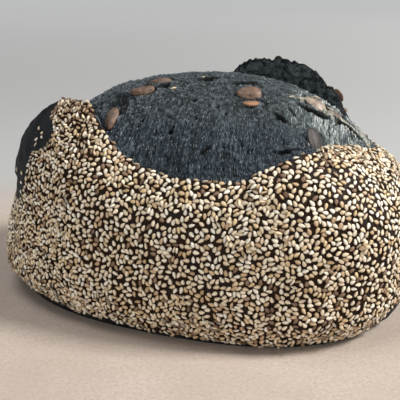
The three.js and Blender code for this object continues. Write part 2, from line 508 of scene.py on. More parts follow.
# %% [markdown]
# ### Colours and materials
# A paint chart counts colours from 0 to 255 as the eye sees them, and the renderer counts light,
# so one helper turns the first into the second. Most finishes here are a row of mixes, each
# under its own mask, with fine bumps on top, and they all share the helpers that build those.


# %% Colours and mixes
def colour(red, green, blue):
    """Colour from 0 to 255 as on a paint chart, turned into linear light."""
    part = np.array([red, green, blue]) / 255
    linear = np.where(part <= 0.04045, part / 12.92, ((part + 0.055) / 1.055) ** 2.4)
    return (*[float(v) for v in linear], 1.0)


def mixed(tree, mask, first, second, share=None):
    """First colour where the mask is 0, second where it is 1, or only this share of the second."""
    if share:
        mask = maths(tree, "MULTIPLY", mask, share)
    made = add(tree, "Mix", dict(data_type="RGBA"), {0: mask})
    for socket, value in ((made.inputs[6], first), (made.inputs[7], second)):
        if isinstance(value, bpy.types.NodeSocket):
            tree.links.new(value, socket)
        else:
            socket.default_value = value
    return made.outputs[2]


def carried(tree, name, output="Fac"):
    """A value that the points of the piece carry."""
    return add(tree, "Attribute", dict(attribute_name=name)).outputs[output]


def own_chance(tree):
    """One random number for each seed or strand of a piece."""
    return add(tree, "NewGeometry").outputs["Random Per Island"]


print("flour is", [round(v, 2) for v in colour(110, 112, 112)[:3]], "in linear light")


# %% New material
def new_material(name, roughness, **constants):
    """Material with a Principled BSDF; constants are plain values on its own sockets."""
    material = bpy.data.materials.new(name)
    material.use_nodes = True
    shader = material.node_tree.nodes["Principled BSDF"]
    shader.inputs["Roughness"].default_value = roughness
    for label, value in constants.items():
        shader.inputs[label.replace("_", " ")].default_value = value
    return material, material.node_tree, shader


def placed(tree, group, **values):
    """A node group in a material, with values of its own."""
    made = tree.nodes.new("ShaderNodeGroup")
    made.node_tree = group
    for label, value in values.items():
        made.inputs[label].default_value = value
    return made.outputs[0]


print("materials before the first finish:", len(bpy.data.materials))


# %% Paint and bumps
def bumped_normal(tree, height, distance, strength, below=None):
    feeds = {"Height": height, "Distance": distance * MM, "Strength": strength}
    if below:
        feeds["Normal"] = below
    return add(tree, "Bump", None, feeds).outputs[0]


def paint(tree, shader, tone, *teeth, below=None):
    """Feeds a tone to Base Color, and tooth bumps, the coarse one first, to Normal.

    Each bump is the size of its tooth, how deep its pits are, its height and its strength.
    """
    tree.links.new(tone, shader.inputs["Base Color"])
    normal = below
    for size, pits, distance, strength in teeth:
        height = placed(tree, tooth, Size=size, Pits=pits)
        normal = bumped_normal(tree, height, distance, strength, normal)
    tree.links.new(normal, shader.inputs["Normal"])


print("each material uses some of", [group.name for group in (patches, tooth, flour)])

# %% [markdown]
# ## Black dough
# Charcoal makes the dough blue-black. Where it was skin it baked smooth and matt, with fine
# blisters; where it tore it is rougher and greyer. Both are the same stuff, so their materials
# share the groups above and differ in colour, tooth size and, on the crumb, in fibres that run
# along the direction in which the dough stretched.

# %% [markdown]
# ### Skin
# The skin dried first in the oven: matt and blue-black, with a breath of flour. Under the
# sesame it is painted brown-black, as the warm shade between the seeds. Two materials would meet
# in a hard line, so one material mixes two tones by "coat", a value that the points of the crust
# carry: it is 1 where sesame lies close.

# %% Crust skin
crust_skin, tree, shader = new_material("crust_skin", 0.62, Specular_IOR_Level=0.15)
patch = placed(tree, patches, Size=16.0, Sharpness=0.7)
bare_tone = mixed(tree, patch, colour(24, 26, 28), colour(40, 42, 44))
bare_tone = mixed(tree, placed(tree, flour, Size=4.0, Amount=0.12), bare_tone, colour(110, 112, 112))
# Painted shade: where the coat lies the skin is warm brown-black, the shade between the seeds.
seed_shade_tone = mixed(tree, patch, colour(31, 14, 2), colour(44, 27, 10))
skin_tone = mixed(tree, carried(tree, "coat"), bare_tone, seed_shade_tone)
paint(tree, shader, skin_tone, (1.6, 0.2, 0.35, 0.6), (0.4, 0.4, 0.1, 0.5))
tree.links.new(ramp(tree, patch, 0.0, 1.0, 0.52, 0.74), shader.inputs["Roughness"])
print("made", crust_skin.name)

# %% [markdown]
# ### Torn dough
# Torn dough is rough and greyer, because its broken cells scatter the light. The inner face of
# the crust is plainly rough. The crumb shows more: threads, furrows and ridges, pits, and a pale
# end that dried there and is also painted lighter where the window's light falls; pits and
# furrows are painted dark as shade. A painted image could show them too, but it would have to be
# unwrapped over the dome, while values that the points carry fit the relief exactly.

# %% Torn inner face of the crust
torn_crust, tree, shader = new_material("torn_crust", 0.9, Specular_IOR_Level=0.15)
patch = placed(tree, patches, Size=3.5, Sharpness=0.8, Seed=40.0)
torn_tone = mixed(tree, patch, colour(36, 42, 45), colour(98, 106, 109))
torn_speck = ramp(tree, placed(tree, tooth, Size=0.8, Pits=0.5), 0.58, 0.78)
torn_tone = mixed(tree, torn_speck, torn_tone, colour(168, 175, 174), 0.85)
paint(tree, shader, torn_tone, (2.2, 0.6, 0.7, 0.8), (0.6, 0.6, 0.25, 0.8))
print("made", torn_crust.name)

# %% Torn crumb
# The points of the crumb carry five things for this material: "stretch", their place measured
# across and along the fibres, "hollow", how deep they lie in a pit, which is painted dark as
# shade, "crest", whether they lie in a furrow or on a ridge, painted as shade or highlight, a value
# for how pale they are, from drying and from painted window light on the right end, and
# "upper", how near the top.
torn_crumb, tree, shader = new_material("torn_crumb", 0.8, Specular_IOR_Level=0.22)
stretch = carried(tree, "stretch", "Vector")
drawn = add(tree, "Mapping", None, {"Vector": stretch, "Scale": (2.0, 0.42, 1.0)})
threads = noise(tree, drawn.outputs[0], 1.0, 4.0, 0.75)
on_crest, how_dry_and_lit = carried(tree, "crest"), carried(tree, "dry_and_lit")
patch = placed(tree, patches, Size=4.0, Sharpness=0.3, Seed=80.0)
front_tone = mixed(tree, patch, colour(20, 33, 45), colour(47, 62, 75))
top_tone = mixed(tree, patch, colour(37, 43, 46), colour(68, 76, 80))
crumb_tone = mixed(tree, carried(tree, "upper"), front_tone, top_tone)
# Paler at the right end: dried, and painted lighter where the window's light falls there.
crumb_tone = mixed(tree, how_dry_and_lit, crumb_tone, colour(122, 132, 131))
pale_tone = mixed(tree, how_dry_and_lit, colour(136, 147, 154), colour(228, 236, 232))
grains = placed(tree, tooth, Size=0.55, Pits=0.5)
# Painted shade and highlights: furrows and the gaps between threads are painted dark as shade;
# ridges and grains are painted pale as highlights, and the threads pale, partly their own tone and
# partly painted highlights.
for mask, second, amount in (
    (ramp(tree, on_crest, 0.42, 0.1), colour(11, 13, 15), 0.95),
    (ramp(tree, threads, 0.48, 0.40), colour(12, 15, 19), 0.95),
    (ramp(tree, on_crest, 0.6, 0.95), pale_tone, 0.45),
    (ramp(tree, threads, 0.56, 0.63), pale_tone, 0.85),
    (ramp(tree, grains, 0.55, 0.75), colour(150, 158, 158), 0.65),
):
    crumb_tone = mixed(tree, mask, crumb_tone, second, amount)
# Painted shade: where the crumb lies in a pit, a slit's far wall or a crack it goes near black.
crumb_tone = mixed(tree, carried(tree, "hollow"), crumb_tone, colour(10, 11, 12))
paint(tree, shader, crumb_tone, (0.55, 0.5, 0.35, 0.9), below=bumped_normal(tree, threads, 1.0, 1.0))
print("made", torn_crumb.name)

# %% [markdown]
# ## Crust
# The crust is one skin: the flat baked underside, the round side, the thin torn lip and the
# rough inner face behind it. It could be carved out of a block, but its rim height changes all
# the way round, so rows of points that follow the rim keep the mesh even. The ear's edge tore
# into small teeth, so the rim height gets a little noise there, and it wore off or stands up in
# a few knobs.

# %% Rim of the crust
COLUMNS = 880
# How much of the ear's edge broke off by bearing, and its knobs: bearing, width and height.
WORN = [
    (50, 0), (54, 1.2), (57, 4.4), (60, 3.0), (64, 2.2),
    (70, 1.6), (78, 2.0), (86, 2.0), (92, 0.3), (98, 0),
]
KNOBS = [(54.8, 1.3, 0.9), (88.5, 0.8, 1.8), (96, 1.0, 1.2)]

deg = np.arange(COLUMNS) * 360 / COLUMNS
rim_points = side(deg, rim_height(deg))
raggedness = 0.35 + window(deg, 34, 8, 110, 16, 1.3)
teeth = raggedness * (0.45 * lumps(rim_points, 7, 3) + 0.8 * lumps(rim_points, 1.9, 4))
knobs = sum(tall * hump(deg, at, wide) for at, wide, tall in KNOBS)
rim = rim_height(deg) + teeth + knobs - np.interp(deg, *np.array(WORN).T)
edge_height = crumb_edge(deg)[0]
print("rim between", rim.min().round(1), "and", rim.max().round(1), "mm")

# %% Rows of the crust
FOOT_ROWS = 10
SIDE_ROWS = 62
LIP_ROWS = 6
INNER_ROWS = 24
TUCK = 2.5
FOOT_HOLLOW = 0.6

rows = []
foot_ring = side(deg, 0 * deg)
for row in range(FOOT_ROWS):
    part = 0.04 + 0.96 * row / FOOT_ROWS
    rows.append(foot_ring * [part, part, 1] + [0, 0, FOOT_HOLLOW * (1 - part**4)])
# The rows of the side lie closer together near the foot and the rim, where it bends most.
for row in range(SIDE_ROWS + 1):
    up = (1 - math.cos(math.pi * (row / SIDE_ROWS) ** 0.9)) / 2
    rows.append(side(deg, rim * up))
_, climb, out = side_axes(deg, rim)
for row in range(1, LIP_ROWS):
    a = math.pi * row / LIP_ROWS
    rows.append(side(deg, rim) + LIP / 2 * ((math.cos(a) - 1) * out + math.sin(a) * climb))
for row in range(INNER_ROWS + 1):
    down = row / INNER_ROWS
    thick = LIP + (SKIN - LIP) * min(1, 1.6 * down)
    rows.append(inside(deg, rim + (edge_height - TUCK - rim) * down, thick))
crust_rows = np.array(rows)
print("crust rows:", len(crust_rows))

# %% [markdown]
# ### Relief of the crust
# The skin baked in slow swells, and the torn inner face in folds that run round the loaf. The
# left end also draws in at half its height, and the lower edge of the front curves under more
# than the plain formulas do. All of this moves points along their normals: that keeps the rows,
# and no sculpting is needed.

# %% Relief of the crust
row_at = np.arange(len(crust_rows))
inner_start = FOOT_ROWS + SIDE_ROWS + LIP_ROWS
side_part = ease((row_at - FOOT_ROWS) / 4)[:, None]
inner_part = ease((row_at - inner_start + 2) / 5)[:, None]
ear_part = inner_part * window(deg, 44, 10, 108, 18)[None, :]

skin_relief = 0.7 * layered(crust_rows, 16, 2, 11) + 0.3 * layered(crust_rows, 4, 2, 13)
around = np.stack([crust_rows[..., 0] / 9, crust_rows[..., 1] / 9, crust_rows[..., 2] / 2.6], -1)
folds = 1.0 * layered(around, 1, 3, 17) + 0.35 * layered(crust_rows, 2.2, 2, 19)

height = crust_rows[..., 2]
waist = 4.4 * hump(deg, 198, 24) * hump(height, 54, 17)
# Where the inner face lies just behind the skin, the waist stays shallower than the skin is thick.
waist = np.minimum(waist, 0.4 + 4 * ease((edge_height - 3.5 - height) / 7))
undercut = np.maximum(2.8 * hump(deg, 212, 20), window(deg, 215, 15, 345, 12, 2.3))
undercut = undercut * ease((17 - height) / 11)
skin_relief = skin_relief - waist - undercut
relief = side_part * (1 - inner_part) * skin_relief + (0.4 * inner_part + 0.6 * ear_part) * folds
crust_points = crust_rows + relief[..., None] * sheet_normals(crust_rows, True)
crust_points[..., 2] = np.maximum(crust_points[..., 2], 0)
print("crust relief runs from", round(relief.min(), 2), "to", round(relief.max(), 2), "mm")

# %% [markdown]
# ### Where the coat lies
# The sesame comes later, but the skin under it is painted browner than the bare skin, as the
# shade between the seeds, so the limits of the coat are set here. One end of the loaf lost its
# coat: bare skin from its back round to a ragged edge, whose bearing changes with height. Limits
# written as functions serve twice, for the points of the crust and for the seeds.

# %% Limits of the coat
# The ragged edge as heights and bearings, then where the bare skin ends at its back and foot.
BARE_EDGE = [
    (46, 204), (57, 212), (67, 214.8), (77, 215.6), (85, 216.5), (88, 220.5),
    (93, 219.7), (98, 218), (102, 216), (105, 214), (111, 211),
]
BARE_BACK, BARE_FOOT = 160, 54


def is_bare(deg, points):
    """Where the end of the loaf lost its sesame."""
    height = points[..., 2]
    ragged = 2.5 * layered(points, 9, 2, 51)
    edge = np.interp(height, *np.array(BARE_EDGE).T) + 0.5 * ragged
    return (deg < edge) & (deg > BARE_BACK + 2 * ragged) & (height > BARE_FOOT + ragged)


def coat_foot(deg, points):
    """Height at which the coat starts: the skin just above the foot rubbed bare, most at the ends."""
    turned = (deg + 180) % 360 - 180
    right = window(turned, -21, 10, 10, 18)
    return 2.5 + 7 * hump(deg, 208, 40) + 14 * right + 1.4 * lumps(points, 8, 55)


def coat_top(deg, points):
    """How far below the rim the coat ends: below 0 it runs right up to the edge."""
    on_ear = 8 * window(deg, 40, 12, 112, 16)
    on_front_lip = 2.6 * window(deg, 214, 12, 300, 16)
    return -3 + on_ear + on_front_lip + 1.2 * lumps(points, 6, 56)


skin_deg = np.broadcast_to(deg, crust_points.shape[:2])
under_seeds = crust_points[..., 2] > coat_foot(skin_deg, crust_points)
under_seeds &= ~is_bare(skin_deg, crust_points)
print("the coat covers", round(float(under_seeds.mean()), 2), "of the crust's points")

# %% Crust piece
faces = shell_faces(len(crust_points), COLUMNS)
outer_faces = faces[: inner_start * COLUMNS]
inner_faces = faces[inner_start * COLUMNS:]
foot_middle = len(crust_points) * COLUMNS
k = np.arange(COLUMNS)
cap = np.stack([np.full(COLUMNS, foot_middle), (k + 1) % COLUMNS, k], -1)
points = np.concatenate([crust_points.reshape(-1, 3), crust_points[0].mean(0, keepdims=True)])
coat = np.append(under_seeds.astype(float).ravel(), 0)
crust = new_piece("crust", points, [outer_faces, inner_faces, cap], [crust_skin, torn_crust, crust_skin],
                  ["loaf"], dict(coat=coat))

# %% [markdown]
# ## Crumb
# The crumb is the dome that rose through the slash. It tore as it rose, so its surface is
# drawn into fibres that run from the front lip to the back, opened by pits where bubbles
# burst, and split by slits beside the seeds. A square grid bent into the oval keeps the mesh
# even from edge to middle, where rings of points would crowd together.

# %% Grid of the crumb
GRID = 308


def out_of_crumb(points):
    """Normals of a grid over the crumb, all pointing out."""
    normals = sheet_normals(points, False)
    return normals * np.sign(normals[GRID // 2, GRID // 2, 2])


step = np.linspace(-1, 1, GRID + 1)
u, v = np.meshgrid(step, step, indexing="ij")
share = np.maximum(np.abs(u), np.abs(v))
on_ends = np.abs(u) >= np.abs(v)
flat_ratio = np.where(on_ends, v / np.where(u == 0, 1, u), u / np.where(v == 0, 1, v))
quarter = np.where(on_ends, np.where(u < 0, 180, 0), np.where(v < 0, 270, 90))
crumb_deg = (quarter + np.where(on_ends, 45 * flat_ratio, -45 * flat_ratio)) % 360
crumb_base = crumb(crumb_deg, share * 1.012)
crumb_out = out_of_crumb(crumb_base)
print("crumb grid", crumb_base.shape, "top at", crumb_base[..., 2].max().round(1), "mm")

# %% [markdown]
# ### Fibres
# Rising dough pulls into threads, all in the direction of the pull. Modelling each thread would
# take millions of faces. Instead every point gets its place across and along the fibres, and
# noise that is short across and long along them draws the threads. The material of the crumb
# reads the same two numbers, so its finest threads follow the relief.

# %% Fibres
# Fibres run back from the front lip and fan in: the further from the middle one starts, the
# more it leans towards it, and it straightens as it goes back.
FAN = 0.016
STRAIGHTEN = 45


def fibre_place(points):
    """Place across and along the fibres, in millimetres."""
    back = points[..., 1] + HALF_WIDTH
    across = points[..., 0] * np.exp(FAN * STRAIGHTEN * (1 - np.exp(-back / STRAIGHTEN)))
    wander = 1.6 * lumps(points, 14, 31) + 2.2 * lumps(points, 9, 32) * ease((points[..., 0] - 30) / 35)
    return np.stack([across + wander, np.hypot(back, points[..., 2]), 0 * across], -1)


def fibre_heading(x, y):
    """Bearing of the fibres over a place in the plan, in radians."""
    return math.pi / 2 + math.atan(FAN * x * math.exp(-(y + HALF_WIDTH) / STRAIGHTEN))


fibres = fibre_place(crumb_base)
drawn_out = np.stack([fibres[..., 0] / 1.5, fibres[..., 1] / 11, 0 * fibres[..., 0]], -1)
fibre_relief = 0.34 * lumps(drawn_out, 1, 33) + 0.22 * lumps(drawn_out * [2.1, 1.7, 1], 1, 34)
print("fibre relief up to", round(float(fibre_relief.max()), 2), "mm")

# %% [markdown]
# ### Beds of the pumpkin seeds
# Dough rose round each pumpkin seed, so every seed lies in a bed: calm dough under it, a crack
# at its edge, painted dark as shade, and a low collar outside that. The seeds' places come from
# their solids, so that the beds fit whatever the solids say: the three main directions of a
# solid's corner points are its length, width and thickness.


# %% Beds of the pumpkin seeds
def solid_axes(node):
    """Middle and the long, wide and thick directions of a packed seed."""
    corners = np.array([vertex.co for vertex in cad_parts[node].data.vertices]) / MM
    middle = (corners.max(0) + corners.min(0)) / 2
    axes = np.linalg.svd(corners - corners.mean(0), full_matrices=False)[2]
    length = (corners - middle) @ axes[0]
    if abs(length.min()) < length.max():
        axes[0] = -axes[0]
    if axes[2][2] < 0:
        axes[2] = -axes[2]
    axes[1] = np.cross(axes[2], axes[0])
    centre = [((corners @ axis).max() + (corners @ axis).min()) * axis for axis in axes]
    return (centre[0] + centre[1] + centre[2]) / 2, axes


KERNEL = dict(length=14.5, width=7.3, thick=2.7)
kernels = sorted((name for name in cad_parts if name.startswith("pumpkin")),
                 key=lambda name: int(name.split("_")[-1]))
beds = [solid_axes(node) for node in kernels]
calm = np.ones(share.shape)
collar = np.zeros(share.shape)
crack = np.zeros(share.shape)
for middle, axes in beds:
    local = (crumb_base + SHIFT - middle) @ axes.T
    reach = np.hypot(local[..., 0] / (KERNEL["length"] / 2), local[..., 1] / (KERNEL["width"] / 2))
    reach = np.where(np.abs(local[..., 2]) < 6, reach, 9)
    calm = np.minimum(calm, 0.15 + 0.85 * ease((reach - 1.0) / 0.6))
    collar = np.maximum(collar, hump(reach, 1.22, 0.12))
    crack = np.maximum(crack, hump(reach, 1.02, 0.09))
print(len(kernels), "pumpkin seeds; beds flatten", round(float((calm < 0.9).mean()), 3), "of the crumb")

# %% [markdown]
# ### Pits, slits and a burst bubble
# Gas left round pits, and the rising dome split along slits. Seen from low down a slit is only
# a line, unless its far side stands up: so the first slits get a raised torn lip behind them
# and a far wall painted dark as shade. At the left one large bubble burst and left a shallow
# bowl with a thin rim; the bowl is half painted dark as shade and its rim painted pale as a
# highlight, and the pits are painted dark as shade too. Cutting holes would leave open edges,
# and a grid that sinks stays whole.

# %% Places of the slits
# Each has its middle, half its length and half its width, its bearing and its depth, and so has
# the bubble. The first TORN_SLITS have a torn lip and a far wall painted dark as shade.
TORN_SLITS = 9
SLITS = [
    (80.5, 2.2, 9.5, 0.9, 24, 2.8),
    (-11.6, -22.4, 3.4, 1.3, 17, 3.4),
    (8.6, -11.2, 6.6, 1.4, 32, 3.4),
    (28.3, -10.2, 8.4, 1.2, 43, 3.0),
    (65.0, -9.9, 10.0, 1.3, 26, 3.6),
    (60.0, -43.6, 6.5, 0.7, 30, 1.8),
    (55.4, -21.0, 4.0, 0.8, -43, 2.0),
    (53.0, -30.5, 4.5, 1.2, -15, 2.6),
    (71.5, 3.2, 15.5, 1.3, 13, 3.4),
    (74.5, 19.5, 9.0, 1.0, -18, 2.2),
    (44.0, -24.0, 4.4, 1.1, 50, 2.4),
    (2.6, -49.4, 1.8, 1.4, 40, 3.4),
    (3.6, -47.2, 1.4, 1.2, 0, 3.0),
    (8.8, -33.0, 2.4, 1.4, -20, 3.0),
    (-14.0, -45.6, 1.3, 1.1, 0, 2.4),
    (22.7, -53.5, 4.0, 1.3, 35, 2.2),
]
BUBBLE = (-35.4, -32.6, 11.0, 7.0, -62, 2.4)
SMALL_PITS = 130

rng = np.random.default_rng(7)
small_pits = [(*rng.uniform([-85, -60], [90, 62]), *(rng.uniform(0.6, 1.5) * np.array([1.3, 0.9])),
               rng.uniform(0, 180), rng.uniform(0.6, 1.6)) for _ in range(SMALL_PITS)]
print(len(SLITS) + 1, "large pits and", len(small_pits), "small ones")


# %% Sink the pits and slits
def in_slit(points, slit):
    """Place along and across a slit, each 1 at its edge."""
    x, y, half_long, half_wide, bearing, _ = slit
    c, s = math.cos(math.radians(bearing)), math.sin(math.radians(bearing))
    dx, dy = points[..., 0] - x, points[..., 1] - y
    return (dx * c + dy * s) / half_long, (dy * c - dx * s) / half_wide


sunk = np.zeros(share.shape)
torn_lip = np.zeros(share.shape)
far_wall_shade = np.zeros(share.shape)
ragged_edge = 0.28 * layered(crumb_base, 2.4, 2, 36)
for i, slit in enumerate([*SLITS, *small_pits]):
    along, across = in_slit(crumb_base, slit)
    depth = slit[5]
    sunk = np.maximum(sunk, depth * (1 - ease(np.hypot(along, across) + ragged_edge)))
    if i < TORN_SLITS:
        ends_away = 1 - ease((np.abs(along) + 0.5 * ragged_edge - 0.7) / 0.4)
        beyond = across + ragged_edge
        torn_lip = np.maximum(torn_lip, 0.4 * depth * ends_away * hump(beyond, 1.45, 0.55))
        # The far wall is painted dark as shade.
        far_wall_shade = np.maximum(far_wall_shade, ends_away * hump(beyond, 0.75, 0.4))
to_bubble = np.hypot(*in_slit(crumb_base, BUBBLE)) + 0.3 * ragged_edge
bowl = 1 - ease((to_bubble - 0.72) / 0.3)
bubble_rim = hump(to_bubble, 1.06, 0.06)
# Painted shade: pits, far walls of slits, half the bubble's bowl and the cracks round the seeds go dark.
hollow = np.maximum(np.maximum(np.maximum(ease((sunk - 0.3) / 1.2), far_wall_shade), 0.5 * bowl), 0.85 * crack)
print("pits and slits go down to", round(float(sunk.max()), 1), "mm")

# %% [markdown]
# ### Relief of the crumb
# The crumb swells slowly, is grainy all over, and is combed by its fibres. At the right end it
# dried paler, is painted paler still where the window's light falls, and curled into winding
# crests, like drapes. A crest is where smooth noise crosses zero, so its height falls off to
# both sides of that line.

# %% Relief of the crumb
# Paler at the right end: dried there, and also painted lighter where the window's light falls.
dry_and_lit = ease((crumb_base[..., 0] - 44) / 28) * ease((crumb_base[..., 1] + 40) / 20)
dry_and_lit = dry_and_lit * ease((crumb_base[..., 2] - 84) / 8)
dry_and_lit = np.clip(dry_and_lit * (0.95 + 0.7 * layered(crumb_base, 9, 2, 46)), 0, 1)
upper = ease((crumb_base[..., 2] - 98) / 16)
swell = 1.0 * layered(crumb_base, 20, 2, 41)
grain = (0.35 + 0.35 * upper) * layered(crumb_base, 1.9, 2, 43)
drape = np.stack([fibres[..., 0] / 3.4, fibres[..., 1] / 11, 0 * share], -1)
drapes = 0.5 - 1.6 * np.abs(lumps(drape, 1, 47)) + 0.2 - 0.7 * np.abs(lumps(drape * 1.8, 1, 48))
fine = grain * (1 - 0.4 * dry_and_lit) + fibre_relief * (1.2 - 0.5 * upper) + 1.15 * dry_and_lit * drapes
# Crest is where the material paints shade in the furrows and highlights on ridges and the bubble's rim.
crest = np.clip(0.5 + 0.62 * fine + 0.5 * bubble_rim, 0, 1)
relief = ((swell + fine) * calm + 0.7 * collar - 0.6 * crack + 0.5 * bubble_rim
          + torn_lip * calm - sunk * calm - BUBBLE[5] * bowl)
relief = relief * ease((1.005 - share) / 0.03)
crumb_points = crumb_base + relief[..., None] * crumb_out
crumb_normals = out_of_crumb(crumb_points)
print("crumb relief runs from", round(float(relief.min()), 1), "to", round(float(relief.max()), 1), "mm")

# %% Crumb piece
i, j = np.meshgrid(np.arange(GRID), np.arange(GRID), indexing="ij")
corner = i * (GRID + 1) + j
quads = np.stack([corner, corner + GRID + 1, corner + GRID + 2, corner + 1], -1).reshape(-1, 4)
new_piece("crumb", crumb_points.reshape(-1, 3), [quads], torn_crumb, ["loaf"],
          dict(stretch=fibres.reshape(-1, 3), hollow=hollow.ravel(), crest=crest.ravel(),
               dry_and_lit=dry_and_lit.ravel(), upper=upper.ravel()))

# %% [markdown]
# ## Strands
# Where the crumb tore, strands of dough pulled thin and dried. Most lie flat along the fibres.
# Hair curves would be quick but aren't meshes, so each strand is a thin tube of three sides,
# laid point by point over the crumb, and it catches the light as the real ones do.


# %% Find the crumb under a point
def kd_tree(points):
    """Search tree that finds the nearest of these points."""
    found = kdtree.KDTree(len(points))
    for i, point in enumerate(points.tolist()):
        found.insert(point, i)
    found.balance()
    return found


crumb_flat = crumb_points.reshape(-1, 3)
crumb_flat_normals = crumb_normals.reshape(-1, 3)
crumb_hollow = hollow.ravel()
crumb_plan = kd_tree(crumb_flat * [1, 1, 0])


def on_crumb(x, y):
    """Point on the crumb over a place in the plan, the normal there, and how hollow it is."""
    i = crumb_plan.find((x, y, 0))[1]
    base, normal = crumb_flat[i], crumb_flat_normals[i]
    drop = ((x - base[0]) * normal[0] + (y - base[1]) * normal[1]) / max(normal[2], 0.3)
    return np.array([x, y, base[2] - np.clip(drop, -1.5, 1.5)]), normal, crumb_hollow[i]


print("the crumb over the middle is at", on_crumb(0, 0)[0].round(1))


# %% Creep over the crumb
def creep(x, y, heading, bend, length, steps, lift, arch, slows_past):
    """Points of a path over the crumb, and the deepest hollow that it crosses.

    It runs at a height of lift, and arch more at its middle. Where the crumb is steep it
    advances less in the plan, if the sine of its heading is past slows_past.
    """
    path = []
    deepest = 0
    for step_at in range(steps):
        at = step_at / (steps - 1)
        point, normal, deep_here = on_crumb(x, y)
        deepest = max(deepest, deep_here)
        path.append(point + normal * (lift + arch * math.sin(math.pi * at)))
        level = max(normal[2], 0.25) if abs(math.sin(heading)) > slows_past else 1.0
        x += math.cos(heading) * length / steps * level
        y += math.sin(heading) * length / steps * level
        heading += bend / steps
    return path, deepest


print("a strand over the middle starts at", creep(0, 0, 0, 0, 2, 4, 0.05, 0, 0)[0][0].round(1))


# %% Tubes along paths
def pointed(steps, power):
    """Share of the full thickness along a strand, thin at both ends."""
    return np.sin(math.pi * (np.arange(steps) + 0.6) / (steps + 0.2)) ** power


def repeated(faces, count, points_each):
    """The faces of one shape for each of many copies that follow each other."""
    offset = np.arange(count)[:, None, None] * points_each
    return (faces[None] + offset).reshape(-1, faces.shape[1])


def tubes(paths, radii, taper):
    """Points and faces of closed three-sided tubes along many paths at once."""
    count, steps = paths.shape[:2]
    ahead = unit(np.gradient(paths, axis=1))
    beside = unit(np.cross(ahead, np.array([0.13, 0.27, 0.95])))
    above = np.cross(beside, ahead)
    a = np.arange(3) * 2 * math.pi / 3
    radius = radii[:, None] * taper[None, :]
    ring_points = paths[:, :, None] + radius[..., None, None] * (
        beside[:, :, None] * np.cos(a)[:, None] + above[:, :, None] * np.sin(a)[:, None])
    last = 3 * (steps - 1)
    ends = np.array([[2, 1, 0], [last, last + 1, last + 2]])
    face_sets = [repeated(faces, count, steps * 3) for faces in (shell_faces(steps, 3), ends)]
    return ring_points.reshape(-1, 3), face_sets


print("a strand is thickest at", round(float(pointed(4, 0.6).max()), 2), "of its radius")

# %% Lay the strands
STRANDS, STRAND_STEPS = 9600, 4
rng = np.random.default_rng(121)
steps_down, steps_along = np.gradient(crumb_points, axis=0), np.gradient(crumb_points, axis=1)
cell_area = np.linalg.norm(np.cross(steps_down, steps_along), axis=-1)
open_area = cell_area * (share < 0.985) * (1 - 0.8 * hollow)
likely = open_area * (0.3 + np.clip(layered(crumb_points, 10, 2, 123), 0, 1))
paths, widths = [], []
for start in rng.choice(likely.size, STRANDS, p=(likely / likely.sum()).ravel()):
    x, y, z = crumb_flat[start]
    curly = float(ease((x - 35) / 35))
    near_top = float(ease((z - 104) / 12))
    length = rng.uniform(0.8, 2.7) * (1 - 0.35 * near_top)
    heading = fibre_heading(x, y) + rng.normal(0, 0.16 + 0.4 * curly + 0.5 * near_top)
    bend = rng.normal(0, 0.25 + 0.9 * curly)
    arch = abs(rng.normal(0, 0.08 + 0.14 * curly))
    path, deepest = creep(x, y, heading, bend, length, STRAND_STEPS, 0.05, arch, 0.3)
    if deepest < 0.6:
        paths.append(path)
        widths.append(rng.uniform(0.10, 0.21))
paths, widths = np.array(paths), np.array(widths)
print(len(paths), "strands, mean length",
      round(float(np.linalg.norm(np.diff(paths, axis=1), axis=-1).sum(1).mean()), 2), "mm")

# %% Strand piece
THIN_TOOTH = (0.3, 0.2, 0.05, 0.5)


def strand_material(name, roughness, shine, dark, light, darker=None):
    """Dried dough. Each strand has a tone of its own, and a power above 1 makes more of them dark."""
    material, tree, shader = new_material(name, roughness, Specular_IOR_Level=shine)
    chance = own_chance(tree)
    if darker:
        chance = maths(tree, "POWER", chance, darker)
    paint(tree, shader, mixed(tree, chance, dark, light), THIN_TOOTH)
    return material


dry_strand_and_lip_highlight = strand_material("dry_strand_and_lip_highlight", 0.7, 0.3, colour(48, 58, 67), colour(160, 170, 176), 1.6)
points, face_sets = tubes(paths, widths, pointed(STRAND_STEPS, 0.6))
new_piece("crumb_strands", points, face_sets, dry_strand_and_lip_highlight)

# %% [markdown]
# ### Curls and wisps
# On the dry right end the strands are longer, thicker and paler, and neighbours wave together,
# so one slow noise sways them all. Beside the dusty seed and on towards the right end, thin
# layers of dough and seed skin dried to straw colour and peel off in wisps. Both are tubes
# again: sheets this thin would look the same and need more faces.

# %% Curls
CURLS, CURL_STEPS = 1900, 8
curl_odds = open_area * dry_and_lit**2 * (0.2 + crest)
curl_odds = (curl_odds / curl_odds.sum()).ravel()
starts = np.random.default_rng(141).choice(curl_odds.size, CURLS, p=curl_odds)
rng = np.random.default_rng(142)
curls = []
for start, sway in zip(starts, lumps(crumb_flat[starts], 5, 143)):
    x, y, _ = crumb_flat[start]
    heading = fibre_heading(x, y) + 0.4 * sway + rng.normal(0, 0.1)
    bend = -1.2 * sway + rng.normal(0, 0.2)
    length = rng.uniform(2.0, 6.5)
    lift = abs(rng.normal(0, 0.07))
    path, deepest = creep(x, y, heading, bend, length, CURL_STEPS, lift, -0.04, 0)
    if deepest < 0.3:
        curls.append(path)
pale_curl = strand_material("pale_curl", 0.65, 0.35, colour(84, 92, 92), colour(236, 242, 238))
points, face_sets = tubes(np.array(curls), rng.uniform(0.14, 0.30, len(curls)), pointed(CURL_STEPS, 0.6))
new_piece("crumb_curls", points, face_sets, pale_curl)

# %% Straw wisps
# Each line over the crumb has its two ends and how many wisps it gets.
WISP_LINES = [
    (51.0, -7.6, 58.5, -3.5, 16),
    (54.9, 5.9, 63.9, 12.2, 14),
    (62.0, -3.5, 72.7, -0.5, 14),
    (66.0, 3.5, 79.0, 3.5, 22),
    (79.4, 4.5, 91.5, 9.2, 26),
]
WISP_STEPS = 8
DUSTY_SEED, SEED_CLEARANCE = 5, 4.5

